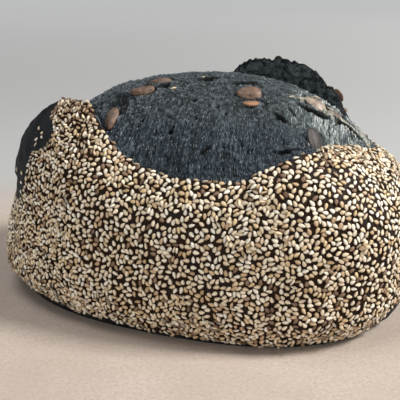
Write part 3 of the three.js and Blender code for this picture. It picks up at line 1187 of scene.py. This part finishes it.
rng = np.random.default_rng(131)
wisps, widths = [], []
for x0, y0, x1, y1, count in WISP_LINES:
    for _ in range(count):
        at = rng.uniform(0, 1)
        x, y = x0 + (x1 - x0) * at + rng.normal(0, 0.7), y0 + (y1 - y0) * at + rng.normal(0, 0.9)
        heading = math.atan2(y1 - y0, x1 - x0) + rng.normal(0, 0.2)
        bend = rng.normal(0, 0.4)
        length = rng.uniform(2.0, 6.5)
        arch = abs(rng.normal(0, 0.35))
        path, _ = creep(x, y, heading, bend, length, WISP_STEPS, 0.1, arch, 1)
        from_seed = np.linalg.norm(np.array(path) - beds[DUSTY_SEED][0] + SHIFT, axis=1)
        if min(from_seed) >= SEED_CLEARANCE:
            wisps.append(path)
            widths.append(rng.uniform(0.16, 0.42))
straw = strand_material("straw_wisp", 0.6, 0.35, colour(128, 120, 102), colour(232, 224, 202))
points, face_sets = tubes(np.array(wisps), np.array(widths), pointed(WISP_STEPS, 0.5))
new_piece("straw_wisps", points, face_sets, straw)

# %% [markdown]
# ### Pale edges
# Two thin pale lines: a layer that stands over the slit at the right end and dried pale, and a
# painted highlight where the inner edge of the front lip catches the light. A bright stripe in a
# material would be blurred by the rough crumb round it, so each is one long thin tube with a
# slightly uneven thickness.

# %% Pale torn edge
# The layer bridges the pits in a smooth arc, so its heights follow a parabola fitted to the
# crumb under it.
EDGE_FROM, EDGE_TO, EDGE_STEPS = (75.5, 1.9), (90.0, 8.2), 44
edge_path = np.array([on_crumb(x, y)[0] for x, y in np.linspace(EDGE_FROM, EDGE_TO, EDGE_STEPS)])
arc = np.polyfit(edge_path[:, 0], edge_path[:, 2], 2)
edge_path[:, 2] = np.polyval(arc, edge_path[:, 0]) + 0.6
edge_path = edge_path + 0.12 * lumps(edge_path, 3, 133)[:, None]
taper = pointed(EDGE_STEPS, 0.5) * (0.8 + 0.2 * lumps(edge_path, 4, 134))
points, face_sets = tubes(edge_path[None], np.array([0.5]), taper)
pale_layer, tree, shader = new_material("pale_layer", 0.6, Specular_IOR_Level=0.35)
layer_patch = placed(tree, patches, Size=2.0, Sharpness=0.6)
paint(tree, shader, mixed(tree, layer_patch, colour(222, 220, 206), colour(250, 248, 236)), THIN_TOOTH)
new_piece("pale_edge", points, face_sets, pale_layer)

# %% Pale line along the lip
# A pale tube along the front lip's inner edge: a painted highlight where the thin edge catches the light.
LINE_STEPS = 60
lip_deg = np.linspace(201, 262, LINE_STEPS)
lip_height = np.interp(lip_deg, deg, rim)
_, climb, out = side_axes(lip_deg, lip_height)
over = math.radians(115)
lip_points = side(lip_deg, lip_height)
wander = 0.15 * lumps(lip_points, 4, 132)[:, None]
line = lip_points + LIP / 2 * ((math.cos(over) - 1) * out + math.sin(over) * climb) + wander * climb
points, face_sets = tubes(line[None], np.array([0.28]), pointed(LINE_STEPS, 0.4))
new_piece("lip_line", points, face_sets, dry_strand_and_lip_highlight)

# %% [markdown]
# ## Sesame coat
# Before it was baked the loaf was rolled in sesame, so thousands of seeds lie flat on the skin,
# each turned its own way, side by side and hardly ever crossing. A particle system or
# displacement would be quicker but leaves no mesh, so every seed is a small closed mesh here,
# laid one at a time where it touches no earlier one. All seeds of one tone form one piece.


# %% Closed drops
def angles(count):
    """Angles round a ring, in a row."""
    return np.arange(count)[None, :] * 2 * math.pi / count


def ring_turns(rings):
    """Angle from the blunt end of a drop to its tip for each ring, in a column."""
    return math.pi * (np.arange(rings) + 0.7)[:, None] / (rings + 0.4)


def closed_drop(rings, long):
    """Points and faces of a drop closed by its two end points, which come last."""
    count, around = rings.shape[:2]
    points = np.concatenate([rings.reshape(-1, 3), [[-long / 2, 0, 0], [long / 2, 0, 0]]])
    k = np.arange(around)
    after = (k + 1) % around
    last = (count - 1) * around
    start = np.stack([np.full(around, count * around), after, k], -1)
    end = np.stack([np.full(around, count * around + 1), last + k, last + after], -1)
    return points, [shell_faces(count, around), np.concatenate([start, end])]


def rim_values(around, rings):
    """1 at the thin rim of a drop, 0 on its back and belly."""
    return np.concatenate([np.tile(np.abs(np.cos(angles(around)[0])), rings), [1, 1]])


print("five rings lie at", np.degrees(ring_turns(5)[:, 0]).round(), "degrees from the blunt end")

# %% One sesame seed
SEED_LONG, SEED_WIDE, SEED_THICK = 3.2, 2.26, 1.05
SEED_RINGS, SEED_AROUND = 5, 8

turn = ring_turns(SEED_RINGS)
along = -np.cos(turn)
broad = SEED_WIDE / 2 * np.sin(turn) * (1 - 0.3 * along) * (1 - 0.5 * 0.3 * np.maximum(along, 0))
deep = SEED_THICK / 2 * np.sin(turn) ** 0.8
a = angles(SEED_AROUND)
rings = np.stack([SEED_LONG / 2 * along + 0 * a, broad * np.cos(a), deep * np.sin(a)], -1)
seed_points, seed_faces = closed_drop(rings, SEED_LONG)
seed_rim = rim_values(SEED_AROUND, SEED_RINGS)
print("one sesame seed has", 2 * len(seed_faces[0]) + len(seed_faces[1]), "triangles")

# %% [markdown]
# ### How thick the coat is
# Seeds are smaller on the front corner and the left end, and where the dough was wetter they
# crowd, roll up on edge and pile up: low on the front left, in clumps, and on the corner.


# %% Size and crowding
def on_corner(deg, points):
    """1 on the front corner that rises highest, fading to 0 round it."""
    return hump(deg, 220, 13) * ease((points[..., 2] - 70) / 18)


def size_at(deg, points):
    """Share of the full size that the seeds have."""
    return 1 - 0.12 * on_corner(deg, points) - 0.1 * hump(deg, 210, 24)


def crowding(deg, points):
    """1 where seeds crowd and stand on edge, 0 where they lie flat."""
    low_left = hump(deg, 222, 24) * ease((62 - points[..., 2]) / 34)
    low = 0.3 * ease((30 - points[..., 2]) / 16)
    clumps = ease((layered(points, 12, 2, 72) - 0.35) / 0.25)
    return np.clip(0.6 * low_left + low + 0.8 * clumps + 1.2 * on_corner(deg, points), 0, 1)


print("seeds crowd on", round(float((crowding(skin_deg, crust_points) > 0.5).mean()), 2), "of the crust")


# %% Places on the crust
def spots_on(grid, normals, first_row, last_row, count, rng):
    """Random places on a grid of points, evenly by area: point, normal and bearing."""
    part = grid[first_row:last_row + 1]
    across = np.roll(part, -1, 1)
    area = np.linalg.norm(np.cross(across[1:] - part[:-1], part[1:] - across[:-1]), axis=-1) / 2
    pick = np.searchsorted(np.cumsum(area.ravel()), rng.uniform(0, area.sum(), count))
    row, column = np.divmod(np.minimum(pick, area.size - 1), grid.shape[1])
    row = row + first_row
    after = (column + 1) % grid.shape[1]
    s, t = rng.uniform(0, 1, (2, count, 1))

    def blend(values):
        lower = values[row, column] * (1 - s) + values[row, after] * s
        return lower * (1 - t) + (values[row + 1, column] * (1 - s) + values[row + 1, after] * s) * t

    return blend(grid), unit(blend(normals)), (column + s[:, 0]) * 360 / grid.shape[1]


def across_normals(directions, normals):
    """Directions laid flat on a surface."""
    return unit(directions - (directions * normals).sum(-1, keepdims=True) * normals)


crust_normals = sheet_normals(crust_points, True)
crust_normals = crust_normals * np.sign(crust_normals[FOOT_ROWS + 20, 0] @ [1, 0, 0])
print("normals point out, such as", crust_normals[FOOT_ROWS + 20, 0].round(2))

# %% [markdown]
# ### Laying and settling
# For the test of what touches, a seed is three balls in a row, larger in the middle. A seed may
# turn seven ways to fit. Laid one by one, some still crowd and others leave holes. On a real
# loaf rolling evens them out, so each seed then pushes its neighbours away and turns a little,
# over and over, on the skin. A physics engine would do the same in far more time.

# %% Lay seeds apart
CORE = np.array([-0.84, 0.0, 0.84])
CORE_REACH = np.array([0.78, 0.95, 0.64])
TURNS = 7
CELL = 3.7


def lay_apart(points, normals, room, rng):
    """Index and direction of the seeds that can lie on these places, taken in order."""
    directions = [across_normals(rng.normal(size=normals.shape), normals) for _ in range(TURNS)]
    cores = np.stack([points[:, None] + d[:, None] * CORE[None, :, None] for d in directions], 1)
    limit = CORE_REACH[:, None] + CORE_REACH[None, :]
    cells = np.floor(points / CELL).astype(int)
    around = [(x, y, z) for x in (-1, 0, 1) for y in (-1, 0, 1) for z in (-1, 0, 1)]
    laid = {}
    chosen = []
    for i, (x, y, z) in enumerate(cells.tolist()):
        near = [core for dx, dy, dz in around for core in laid.get((x + dx, y + dy, z + dz), ())]
        turn = 0
        if near:
            gap = cores[i][:, None, :, None, :] - np.array(near)[None, :, None, :, :]
            clear = ((gap**2).sum(-1) > (limit * room[i]) ** 2).all((1, 2, 3))
            if not clear.any():
                continue
            turn = int(np.argmax(clear))
        laid.setdefault((x, y, z), []).append(cores[i][turn])
        chosen.append((i, turn))
    index = np.array([i for i, _ in chosen])
    return index, np.array([directions[turn][i] for i, turn in chosen])


print("two seeds side by side keep", 2 * CORE_REACH[1], "mm between their middles")

# %% Lay the coat
CANDIDATES = 130000
TOP_ROW = inner_start - 3

rng = np.random.default_rng(21)
spots = spots_on(crust_points, crust_normals, FOOT_ROWS + 1, TOP_ROW, CANDIDATES, rng)
places, outward, place_deg = spots
coated = ~is_bare(place_deg, places) & (places[:, 2] > coat_foot(place_deg, places))
coated &= rim_height(place_deg) - places[:, 2] > coat_top(place_deg, places)
places, outward, place_deg = places[coated], outward[coated], place_deg[coated]
crowd = crowding(place_deg, places)
room = (1.04 + 0.17 * np.clip(layered(places, 15, 2, 61) + 0.15, 0, 1)) * (1 - 0.22 * crowd)
room = room * size_at(place_deg, places)
index, seed_long = lay_apart(places, outward, 0.93 * room, rng)
seed_at, seed_up, seed_deg = places[index], outward[index], place_deg[index]
seed_crowd, room = crowd[index], room[index]
print(len(index), "sesame seeds lie on the coat,",
      round(len(index) / coated.sum(), 3), "of the places tried")

# %% Neighbours of each seed
NEIGHBOURS_WITHIN = 4.2
outer_points = crust_points[FOOT_ROWS:TOP_ROW].reshape(-1, 3)
outer_normals = crust_normals[FOOT_ROWS:TOP_ROW].reshape(-1, 3)
skin_tree = kd_tree(outer_points)


def nearest_skin(points):
    """The skin's nearest point and its normal for each of these points."""
    nearest = np.array([skin_tree.find(point)[1] for point in points.tolist()])
    return outer_points[nearest], outer_normals[nearest]


seed_tree = kd_tree(seed_at)
pairs = np.array([(i, j) for i, point in enumerate(seed_at.tolist())
                  for _, j, _ in seed_tree.find_range(point, NEIGHBOURS_WITHIN) if j > i])
one, other = pairs.T
limit = (CORE_REACH[:, None] + CORE_REACH[None, :]) * ((room[one] + room[other]) / 2)[:, None, None]
print("each seed has", round(2 * len(pairs) / len(seed_at), 1), "neighbours")

# %% Let the seeds settle
SETTLE_ROUNDS = 16
FIRMNESS = 0.3
LONGEST_MOVE, WIDEST_TURN = 0.25, 0.2
LEAVES_SKIN = 1.5

for _ in range(SETTLE_ROUNDS):
    arms = seed_long[:, None] * CORE[None, :, None]
    cores = seed_at[:, None] + arms
    apart = cores[one][:, :, None] - cores[other][:, None]
    far_apart = np.linalg.norm(apart, axis=-1)
    push = apart * (FIRMNESS * np.clip(limit - far_apart, 0, None) / (far_apart + 0.01))[..., None]
    shift = np.zeros_like(seed_at)
    spin = np.zeros_like(seed_at)
    for seed, force in ((one, push.sum(2)), (other, -push.sum(1))):
        np.add.at(shift, seed, force.sum(1))
        np.add.at(spin, seed, np.cross(arms[seed], force).sum(1))
    shift = np.clip(shift, -LONGEST_MOVE, LONGEST_MOVE)
    shift -= (shift * seed_up).sum(-1, keepdims=True) * seed_up
    turned_by = np.clip((spin * seed_up).sum(-1, keepdims=True), -WIDEST_TURN, WIDEST_TURN)
    moved = seed_at + shift
    base, normal = nearest_skin(moved)
    on_skin = np.linalg.norm(moved - base, axis=-1, keepdims=True) < LEAVES_SKIN
    off_skin = ((moved - base) * normal).sum(-1, keepdims=True)
    seed_at = np.where(on_skin, moved - off_skin * normal, seed_at)
    seed_up = np.where(on_skin, normal, seed_up)
    seed_long = across_normals(seed_long + turned_by * np.cross(seed_up, seed_long), seed_up)
print(len(pairs), "pairs settled; still too near:", int((far_apart < limit - 0.15).any((1, 2)).sum()))

# %% Tilt the seeds
# Lying seeds rest on lumps of skin or on each other's edges, so each tips a little, and where
# they crowd they roll up on edge.
count = len(index)
roll = seed_crowd[:, None] * rng.uniform(-1.2, 1.2, (count, 1))
lift = 0.36 + 0.1 * rng.normal(size=(count, 1)) + 0.32 * np.abs(np.sin(roll))
tip = 0.14 * rng.normal(size=(count, 2))
seed_at = seed_at + lift * seed_up
seed_side = np.cross(seed_up, seed_long)
seed_up = np.cos(roll) * seed_up + np.sin(roll) * seed_side
seed_side = np.cross(seed_up, seed_long)
seed_up = unit(seed_up + tip[:, :1] * seed_long + tip[:, 1:] * seed_side)
seed_long = across_normals(seed_long, seed_up)
print("seeds stand off the skin by", round(float(lift.mean()), 2), "mm on average")

# %% [markdown]
# ### Seeds on top and seeds astray
# Where the dough was wetter a second layer stuck on top, many seeds on edge. A few lie on the
# bare skin, the nearest ones just off the edge of the coat, and a few fell on the crumb. Each
# kind is laid by its own short rule, and in the end all of them are dealt out together.

# %% Second layer
HEAPS = 1800
BELOW_LIP = inner_start - 6
heap_at, heap_up, heap_deg = spots_on(crust_points, crust_normals, FOOT_ROWS + 2, BELOW_LIP, HEAPS, rng)
keep = crowding(heap_deg, heap_at) > rng.uniform(0.2, 1.2, HEAPS)
keep &= ~is_bare(heap_deg, heap_at) & (heap_at[:, 2] > 6)
heap_at, heap_up, heap_deg = heap_at[keep], heap_up[keep], heap_deg[keep]
index, heap_long = lay_apart(heap_at, heap_up, np.full(len(heap_at), 0.8), rng)
heap_at, heap_up, heap_deg = heap_at[index], heap_up[index], heap_deg[index]
heap_side = np.cross(heap_up, heap_long)
roll = rng.uniform(-1.2, 1.2, (len(heap_at), 1))
heap_at = heap_at + (0.8 + 0.25 * np.abs(roll)) * heap_up
heap_up = unit(np.cos(roll) * heap_up + np.sin(roll) * heap_side)
print(len(heap_at), "seeds lie in the second layer")

# %% Strays on the bare skin
# Bearings and heights of the strays beside the edge. The others fall anywhere, most of them low.
STRAYS = [
    (215.3, 88.0), (214.6, 90.2), (216.0, 92.4), (215.2, 94.8),
    (212.6, 71.5), (212.9, 67.0), (212.4, 62.5),
]
STRAYS_TRIED = 900
spots = spots_on(crust_points, crust_normals, FOOT_ROWS + 20, BELOW_LIP, STRAYS_TRIED, rng)
stray_at, stray_up, stray_deg = spots
keep = rng.uniform(size=STRAYS_TRIED) < 0.1 + 0.5 * (stray_at[:, 2] < 66)
keep &= is_bare(stray_deg, stray_at)
stray_at, stray_up, stray_deg = (values[keep] for values in spots)
beside_edge = slice(len(STRAYS))
stray_deg[beside_edge], stray_height = np.array(STRAYS).T
stray_at[beside_edge], stray_up[beside_edge] = nearest_skin(side(stray_deg[beside_edge], stray_height))
stray_long = across_normals(rng.normal(size=stray_up.shape), stray_up)
stray_at = stray_at + 0.45 * stray_up
print(len(stray_at), "seeds lie on the bare skin")

# %% Loose seeds on the crumb
LOOSE = [(-5.7, -26.0), (3.6, -8.0), (58.0, 1.8), (12, 34), (-20, 30), (40, 28)]
loose = [on_crumb(x, y) for x, y in LOOSE]
loose_up = np.array([normal for _, normal, _ in loose])
loose_at = np.array([point for point, _, _ in loose]) + 0.35 * loose_up
loose_long = across_normals(rng.normal(size=loose_up.shape), loose_up)
loose_deg = np.degrees(np.arctan2(loose_at[:, 1], loose_at[:, 0])) % 360

all_at = np.concatenate([seed_at, heap_at, stray_at, loose_at])
all_up = np.concatenate([seed_up, heap_up, stray_up, loose_up])
all_long = np.concatenate([seed_long, heap_long, stray_long, loose_long])
all_deg = np.concatenate([seed_deg, heap_deg, stray_deg, loose_deg])
print(len(all_at), "sesame seeds in all")

# %% [markdown]
# ### Shade round the seeds
# The painted brown shade lies only round each seed, so wide gaps in the coat stay nearly black.
# The true places of the seeds are known only now, so the value "coat" is lowered again on every
# point of the skin that is far from all seeds.

# %% Bare gaps in the coat
SHADE_REACH, SHADE_FADE = 1.9, 0.5
seed_tree = kd_tree(all_at)
skin_points = crust_points[:inner_start].reshape(-1, 3)
to_seed = np.array([seed_tree.find(point)[2] for point in skin_points.tolist()])
# Far from every seed the painted shade fades back to the bare skin's tone.
coat[:len(to_seed)] *= 1 - 0.85 * ease((to_seed - SHADE_REACH) / SHADE_FADE)
crust.data.attributes["coat"].data.foreach_set("value", coat)
print("painted_seed_shade reaches", round(float((coat > 0.5).mean()), 2), "of the crust's points")

# %% [markdown]
# ## Tones of sesame
# Raw sesame is cream. In the oven it turns golden and then brown, most of all where it sticks
# up: on the tongue, along the lip and on the right shoulder. A handful of tones, one material
# and one piece each, gives that mix; inside a piece each seed still differs a little, because
# the material reads a random value for every separate island of the mesh. The rim of a seed is
# thin and toasts first, so its points carry "rim", and the material darkens there, which also
# paints the shade on the seed's rounded edge.


# %% Sesame materials
def sesame_material(name, belly, rib):
    material, tree, shader = new_material(name, 0.4, Specular_IOR_Level=0.55)
    own = own_chance(tree)
    tone = mixed(tree, own, belly, rib)
    tone = mixed(tree, placed(tree, patches, Size=0.9, Sharpness=0.6), tone, rib, 0.35)
    # The rim darkens from toasting and from painted shade on the seed's rounded edge.
    toasted_and_shaded_rim = maths(tree, "POWER", carried(tree, "rim"), 2.2)
    tone = mixed(tree, toasted_and_shaded_rim, tone, colour(70, 38, 17), 0.9)
    paint(tree, shader, tone, (0.45, 0.2, 0.06, 0.5))
    tree.links.new(ramp(tree, own, 0.0, 1.0, 0.34, 0.5), shader.inputs["Roughness"])
    return material


# Share of the draws, and the tones of belly and rib.
TONES = {
    "sesame_pale": (0.23, colour(253, 247, 232), colour(246, 234, 210)),
    "sesame_cream": (0.28, colour(250, 238, 216), colour(238, 220, 188)),
    "sesame_beige": (0.27, colour(242, 223, 193), colour(224, 202, 166)),
    "sesame_golden": (0.12, colour(230, 205, 163), colour(211, 182, 138)),
    "sesame_tan": (0.085, colour(214, 185, 148), colour(192, 160, 122)),
    "sesame_toasted": (0.015, colour(158, 130, 103), colour(116, 91, 70)),
}
print(len(TONES), "tones of sesame")

# %% Choose a tone for each seed
# A random draw picks the tone. Toasting raises it towards the dark end, and so does a place low
# on the sides, where the darker tones are painted shade.
on_tongue = hump(all_deg, 219, 16) * ease((all_at[:, 2] - 101) / 9)
rim_gap = rim_height(all_deg) - all_at[:, 2]
on_lip = hump(all_deg, 238, 22) * ease((18 - rim_gap) / 14)
on_shoulder = hump(all_deg, 330, 30) * ease((12 - rim_gap) / 10)
toast = np.clip(1.2 * on_tongue + 0.4 * on_lip + 0.5 * on_shoulder, 0, 1)
draw = rng.uniform(size=len(all_at)) + 0.08 * layered(all_at, 30, 2, 81)
# Painted shade: seeds low on the sides draw darker tones.
draw = draw + 0.06 * ease((50 - all_at[:, 2]) / 35)
draw = draw + toast * rng.uniform(0.1, 0.62, len(all_at))
shares = np.cumsum([share_of_all for share_of_all, _, _ in TONES.values()])
tone_of = np.minimum(np.searchsorted(shares, draw), len(TONES) - 1)
print("seeds of each tone:", np.bincount(tone_of))

# %% Sesame pieces
for i, (name, (_, belly, rib)) in enumerate(TONES.items()):
    mine = tone_of == i
    count = mine.sum()
    size = np.random.default_rng(90 + i).normal(1, 0.07, (count, 1, 3))
    size = size * size_at(all_deg[mine], all_at[mine])[:, None, None]
    axes = np.stack([all_long[mine], np.cross(all_up[mine], all_long[mine]), all_up[mine]], 1)
    points = all_at[mine][:, None] + np.einsum("nvk,nkx->nvx", seed_points[None] * size, axes)
    face_sets = [repeated(faces, count, len(seed_points)) for faces in seed_faces]
    new_piece(name, points.reshape(-1, 3), face_sets, sesame_material(name, belly, rib),
              values=dict(rim=np.tile(seed_rim, count)))

# %% [markdown]
# ## Pumpkin seeds
# Hulled pumpkin seeds are flat drops with a rounded back, a low groove just inside the edge and
# a thin raised rim. They could be modelled one by one, but revolved by formula, ring by ring,
# each can have its own size, bend and wrinkles.

# %% Shape of a pumpkin seed
KERNEL_RINGS, KERNEL_AROUND = 34, 28

turn = ring_turns(KERNEL_RINGS)
along = -np.cos(turn)
broad = KERNEL["width"] / 2 * np.sin(turn) ** 0.9 * (1 - 0.2 * along)
broad = broad * (1 - 0.12 * np.maximum(along, 0) ** 3)
deep = KERNEL["thick"] / 2 * np.sin(turn) ** 0.7
a = angles(KERNEL_AROUND)
edge_share = np.abs(np.cos(a))
groove = 1 - 0.32 * hump(edge_share, 0.84, 0.09)
raised_rim = 0.12 * np.sign(np.sin(a)) * (edge_share > 0.9)
ring_depth = deep * np.sin(a) * groove + raised_rim
rings = np.stack([KERNEL["length"] / 2 * along + 0 * a, broad * np.cos(a), ring_depth], -1)
kernel_points, kernel_faces = closed_drop(rings, KERNEL["length"])
kernel_rim = rim_values(KERNEL_AROUND, KERNEL_RINGS)
print("one pumpkin seed has", 2 * len(kernel_faces[0]) + len(kernel_faces[1]), "triangles")


# %% [markdown]
# ### Finishes of the pumpkin seeds
# Four finishes tell the roasted ones from the golden edge-on one, the dusty ones and the dark
# one. Each is the same row of mixes with its own colours: two tones in patches, the light one
# again along the rim as a painted highlight, and dust on what faces up, so one function makes
# all four.


# %% Kernel materials
def kernel_material(name, light, dark, dust, grey, gloss=0.42):
    material, tree, shader = new_material(name, gloss, Specular_IOR_Level=0.6)
    tone = mixed(tree, placed(tree, patches, Size=2.6, Sharpness=0.7), light, dark)
    # Painted highlight: the light tone again along the rim, where the edge catches the light.
    tone = mixed(tree, maths(tree, "POWER", carried(tree, "rim"), 6.0), tone, light, 0.5)
    tone = mixed(tree, placed(tree, flour, Size=0.9, Amount=dust), tone, grey)
    paint(tree, shader, tone, (0.5, 0.3, 0.12, 0.6))
    return material


DUST, DARK_DUST = colour(172, 166, 152), colour(104, 106, 103)
FINISHES = {
    "roasted": kernel_material("roasted_kernel", colour(128, 97, 76), colour(50, 34, 27), 0.36, DUST),
    "golden": kernel_material("golden_kernel", colour(176, 132, 98), colour(112, 76, 56), 0.15, DUST),
    "dusty": kernel_material("dusty_kernel", colour(174, 154, 134), colour(120, 102, 90), 0.35, DUST),
    "dark": kernel_material("dark_kernel", colour(66, 56, 49), colour(25, 24, 25), 0.12, DARK_DUST, 0.6),
}
print("finishes:", list(FINISHES))

# %% Sizes of the pumpkin seeds
# Finish, then how much of the full length, width and thickness each seed has, its tilt and
# turn in degrees, and how far it slides along its length and aside.
SEEDS = [
    ("roasted", 1.0, 1.0, 1.25, 0, 0, 0, 0),
    ("roasted", 1.0, 0.95, 1.4, 0, 0, 0, 0),
    ("roasted", 0.85, 0.75, 1.3, 0, 0, 0, 0),
    ("roasted", 0.88, 1.12, 1.5, 0, 0, 0, 0),
    ("golden", 0.56, 0.9, 0.9, 0, 0, 0, 0),
    ("dusty", 0.84, 1.0, 1.4, 0, 0, 0, 2.0),
    ("dark", 0.95, 1.2, 1.4, 12, 62, 1.0, 0),
    ("roasted", 0.45, 0.6, 0.9, 0, 0, 0, 0),
    ("roasted", 1.0, 1.0, 1.2, 0, 0, 0, 0),
    ("dusty", 1.0, 1.0, 1.2, 0, 0, 0, 0),
    ("roasted", 1.0, 1.0, 1.2, 0, 0, 0, 0),
    ("roasted", 0.6, 0.85, 1.0, 0, 0, -0.8, -0.6),
]
shortest = KERNEL["length"] * min(seed[1] for seed in SEEDS)
print(len(SEEDS), "pumpkin seeds, the shortest", round(shortest, 1), "mm long")


# %% Pumpkin seed pieces
def turned_pair(first, second, degrees):
    """Two directions turned together in their own plane."""
    c, s = math.cos(math.radians(degrees)), math.sin(math.radians(degrees))
    return c * first + s * second, c * second - s * first


for i, (node, (middle, axes), seed) in enumerate(zip(kernels, beds, SEEDS)):
    finish, *part, tilt, turned, slide, aside = seed
    wrinkles = 0.12 * layered(kernel_points * [0.35, 1, 1] + 30 * i, 1.4, 2, 101)
    bend = 0.35 * math.sin(2.1 * i) * (kernel_points[:, 0] / 7) ** 2
    shape = kernel_points * part + np.stack([0 * bend, 0 * bend, bend + wrinkles], -1)
    long, wide = turned_pair(axes[0], axes[1], turned)
    up, long = turned_pair(axes[2], long, tilt)
    points = middle + slide * axes[0] + aside * axes[1] + shape @ np.stack([long, wide, up])
    new_piece(f"kernel_{i + 1}", points, kernel_faces, FINISHES[finish], [node],
              dict(rim=kernel_rim), np.zeros(3))

# %% [markdown]
# ## Studio
# A loaf stands on a table, so the stage is one plain pale floor and nothing else. A curved
# backdrop would show its bend from some sides, so this floor is wide and level, and it fades
# from warm near the loaf to cool and bright far away, where it serves as the backdrop.

# %% Floor
FLOOR = 4000
floor_tone, tree, shader = new_material("floor_tone", 0.85, Specular_IOR_Level=0.2, Emission_Strength=1.0)
mottle = placed(tree, patches, Size=60.0, Sharpness=0.5)
warm = mixed(tree, mottle, colour(186, 172, 160), colour(204, 192, 181))
speck = ramp(tree, placed(tree, tooth, Size=2.0, Pits=0.4), 0.2, 0.7)
warm = mixed(tree, maths(tree, "SUBTRACT", 1.0, speck), warm, colour(176, 160, 148))
away = add(tree, "VectorMath", dict(operation="LENGTH"), {0: in_millimetres(tree)}).outputs["Value"]
farther = ramp(tree, away, 500.0, 2200.0, kind="SMOOTHSTEP")
cool = mixed(tree, farther, colour(182, 183, 182), colour(250, 250, 250))
floor_colour = mixed(tree, ramp(tree, away, 170.0, 300.0, kind="SMOOTHSTEP"), warm, cool)
paint(tree, shader, floor_colour, (1.5, 0.2, 0.1, 0.3))
# The lamps hardly reach the far end of the floor, so it gives a little light of its own.
glow = ramp(tree, away, 1200.0, 3400.0, kind="SMOOTHSTEP")
tree.links.new(mixed(tree, glow, colour(0, 0, 0), colour(140, 141, 140)), shader.inputs["Emission Color"])

floor_mesh = bpy.data.meshes.new("floor")
floor_corners = [Vector((x * FLOOR, y * FLOOR, 0)) * MM for x, y in ((-1, -1), (1, -1), (1, 1), (-1, 1))]
floor_mesh.from_pydata(floor_corners, [], [(0, 1, 2, 3)])
floor_mesh.materials.append(floor_tone)
floor = bpy.data.objects.new("floor", floor_mesh)
bpy.context.scene.collection.objects.link(floor)
floor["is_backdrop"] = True
print("the floor is", 2 * FLOOR * MM, "m wide")

# %% [markdown]
# ### Lights
# Black dough has to be lit by large soft lights, or its tooth and fibres stay invisible. A
# window to the right and a little in front rakes over the coat and the crumb, a ceiling light
# opens the shadows, and a weak fill from the front lifts the face of the loaf. An even grey
# surround does the rest.


# %% Lights
def soft_light(name, toward_right, toward_camera, up, size, power, tint):
    """Square area light, placed by metres to the camera's right, towards it and up."""
    light = bpy.data.lights.new(name, "AREA")
    light.size = size
    light.energy = power
    light.color = tint
    made = bpy.data.objects.new(name, light)
    level_back = Vector((math.sin(TURN), -math.cos(TURN), 0))
    made.location = AIM + RIGHTWARD * toward_right + level_back * toward_camera + Vector((0, 0, up))
    made.rotation_mode = "QUATERNION"
    made.rotation_quaternion = (made.location - AIM).to_track_quat("Z", "Y")
    bpy.context.scene.collection.objects.link(made)


soft_light("window", 1.5, 0.25, 1.4, 0.5, 51, (1.0, 0.98, 0.95))
soft_light("ceiling", -0.6, 0.1, 2.3, 1.2, 20, (1.0, 1.0, 1.0))
soft_light("front_fill", -0.5, 2.1, 0.62, 0.7, 13.5, (1.0, 0.985, 0.965))

world = bpy.data.worlds.new("surround")
world.use_nodes = True
background = world.node_tree.nodes["Background"]
background.inputs["Color"].default_value = colour(225, 228, 232)
background.inputs["Strength"].default_value = 0.2
bpy.context.scene.world = world
bpy.context.scene.view_settings.view_transform = "Standard"
print("lights:", [light.name for light in bpy.data.lights])

# %% [markdown]
# ## Close
# The box of the shown pieces is measured and printed.

# %% Sizes and finish
shown_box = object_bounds()
shown_low, shown_high = ([round(v, 4) for v in corner] for corner in shown_box)
print("shown pieces reach from", shown_low, "to", shown_high)
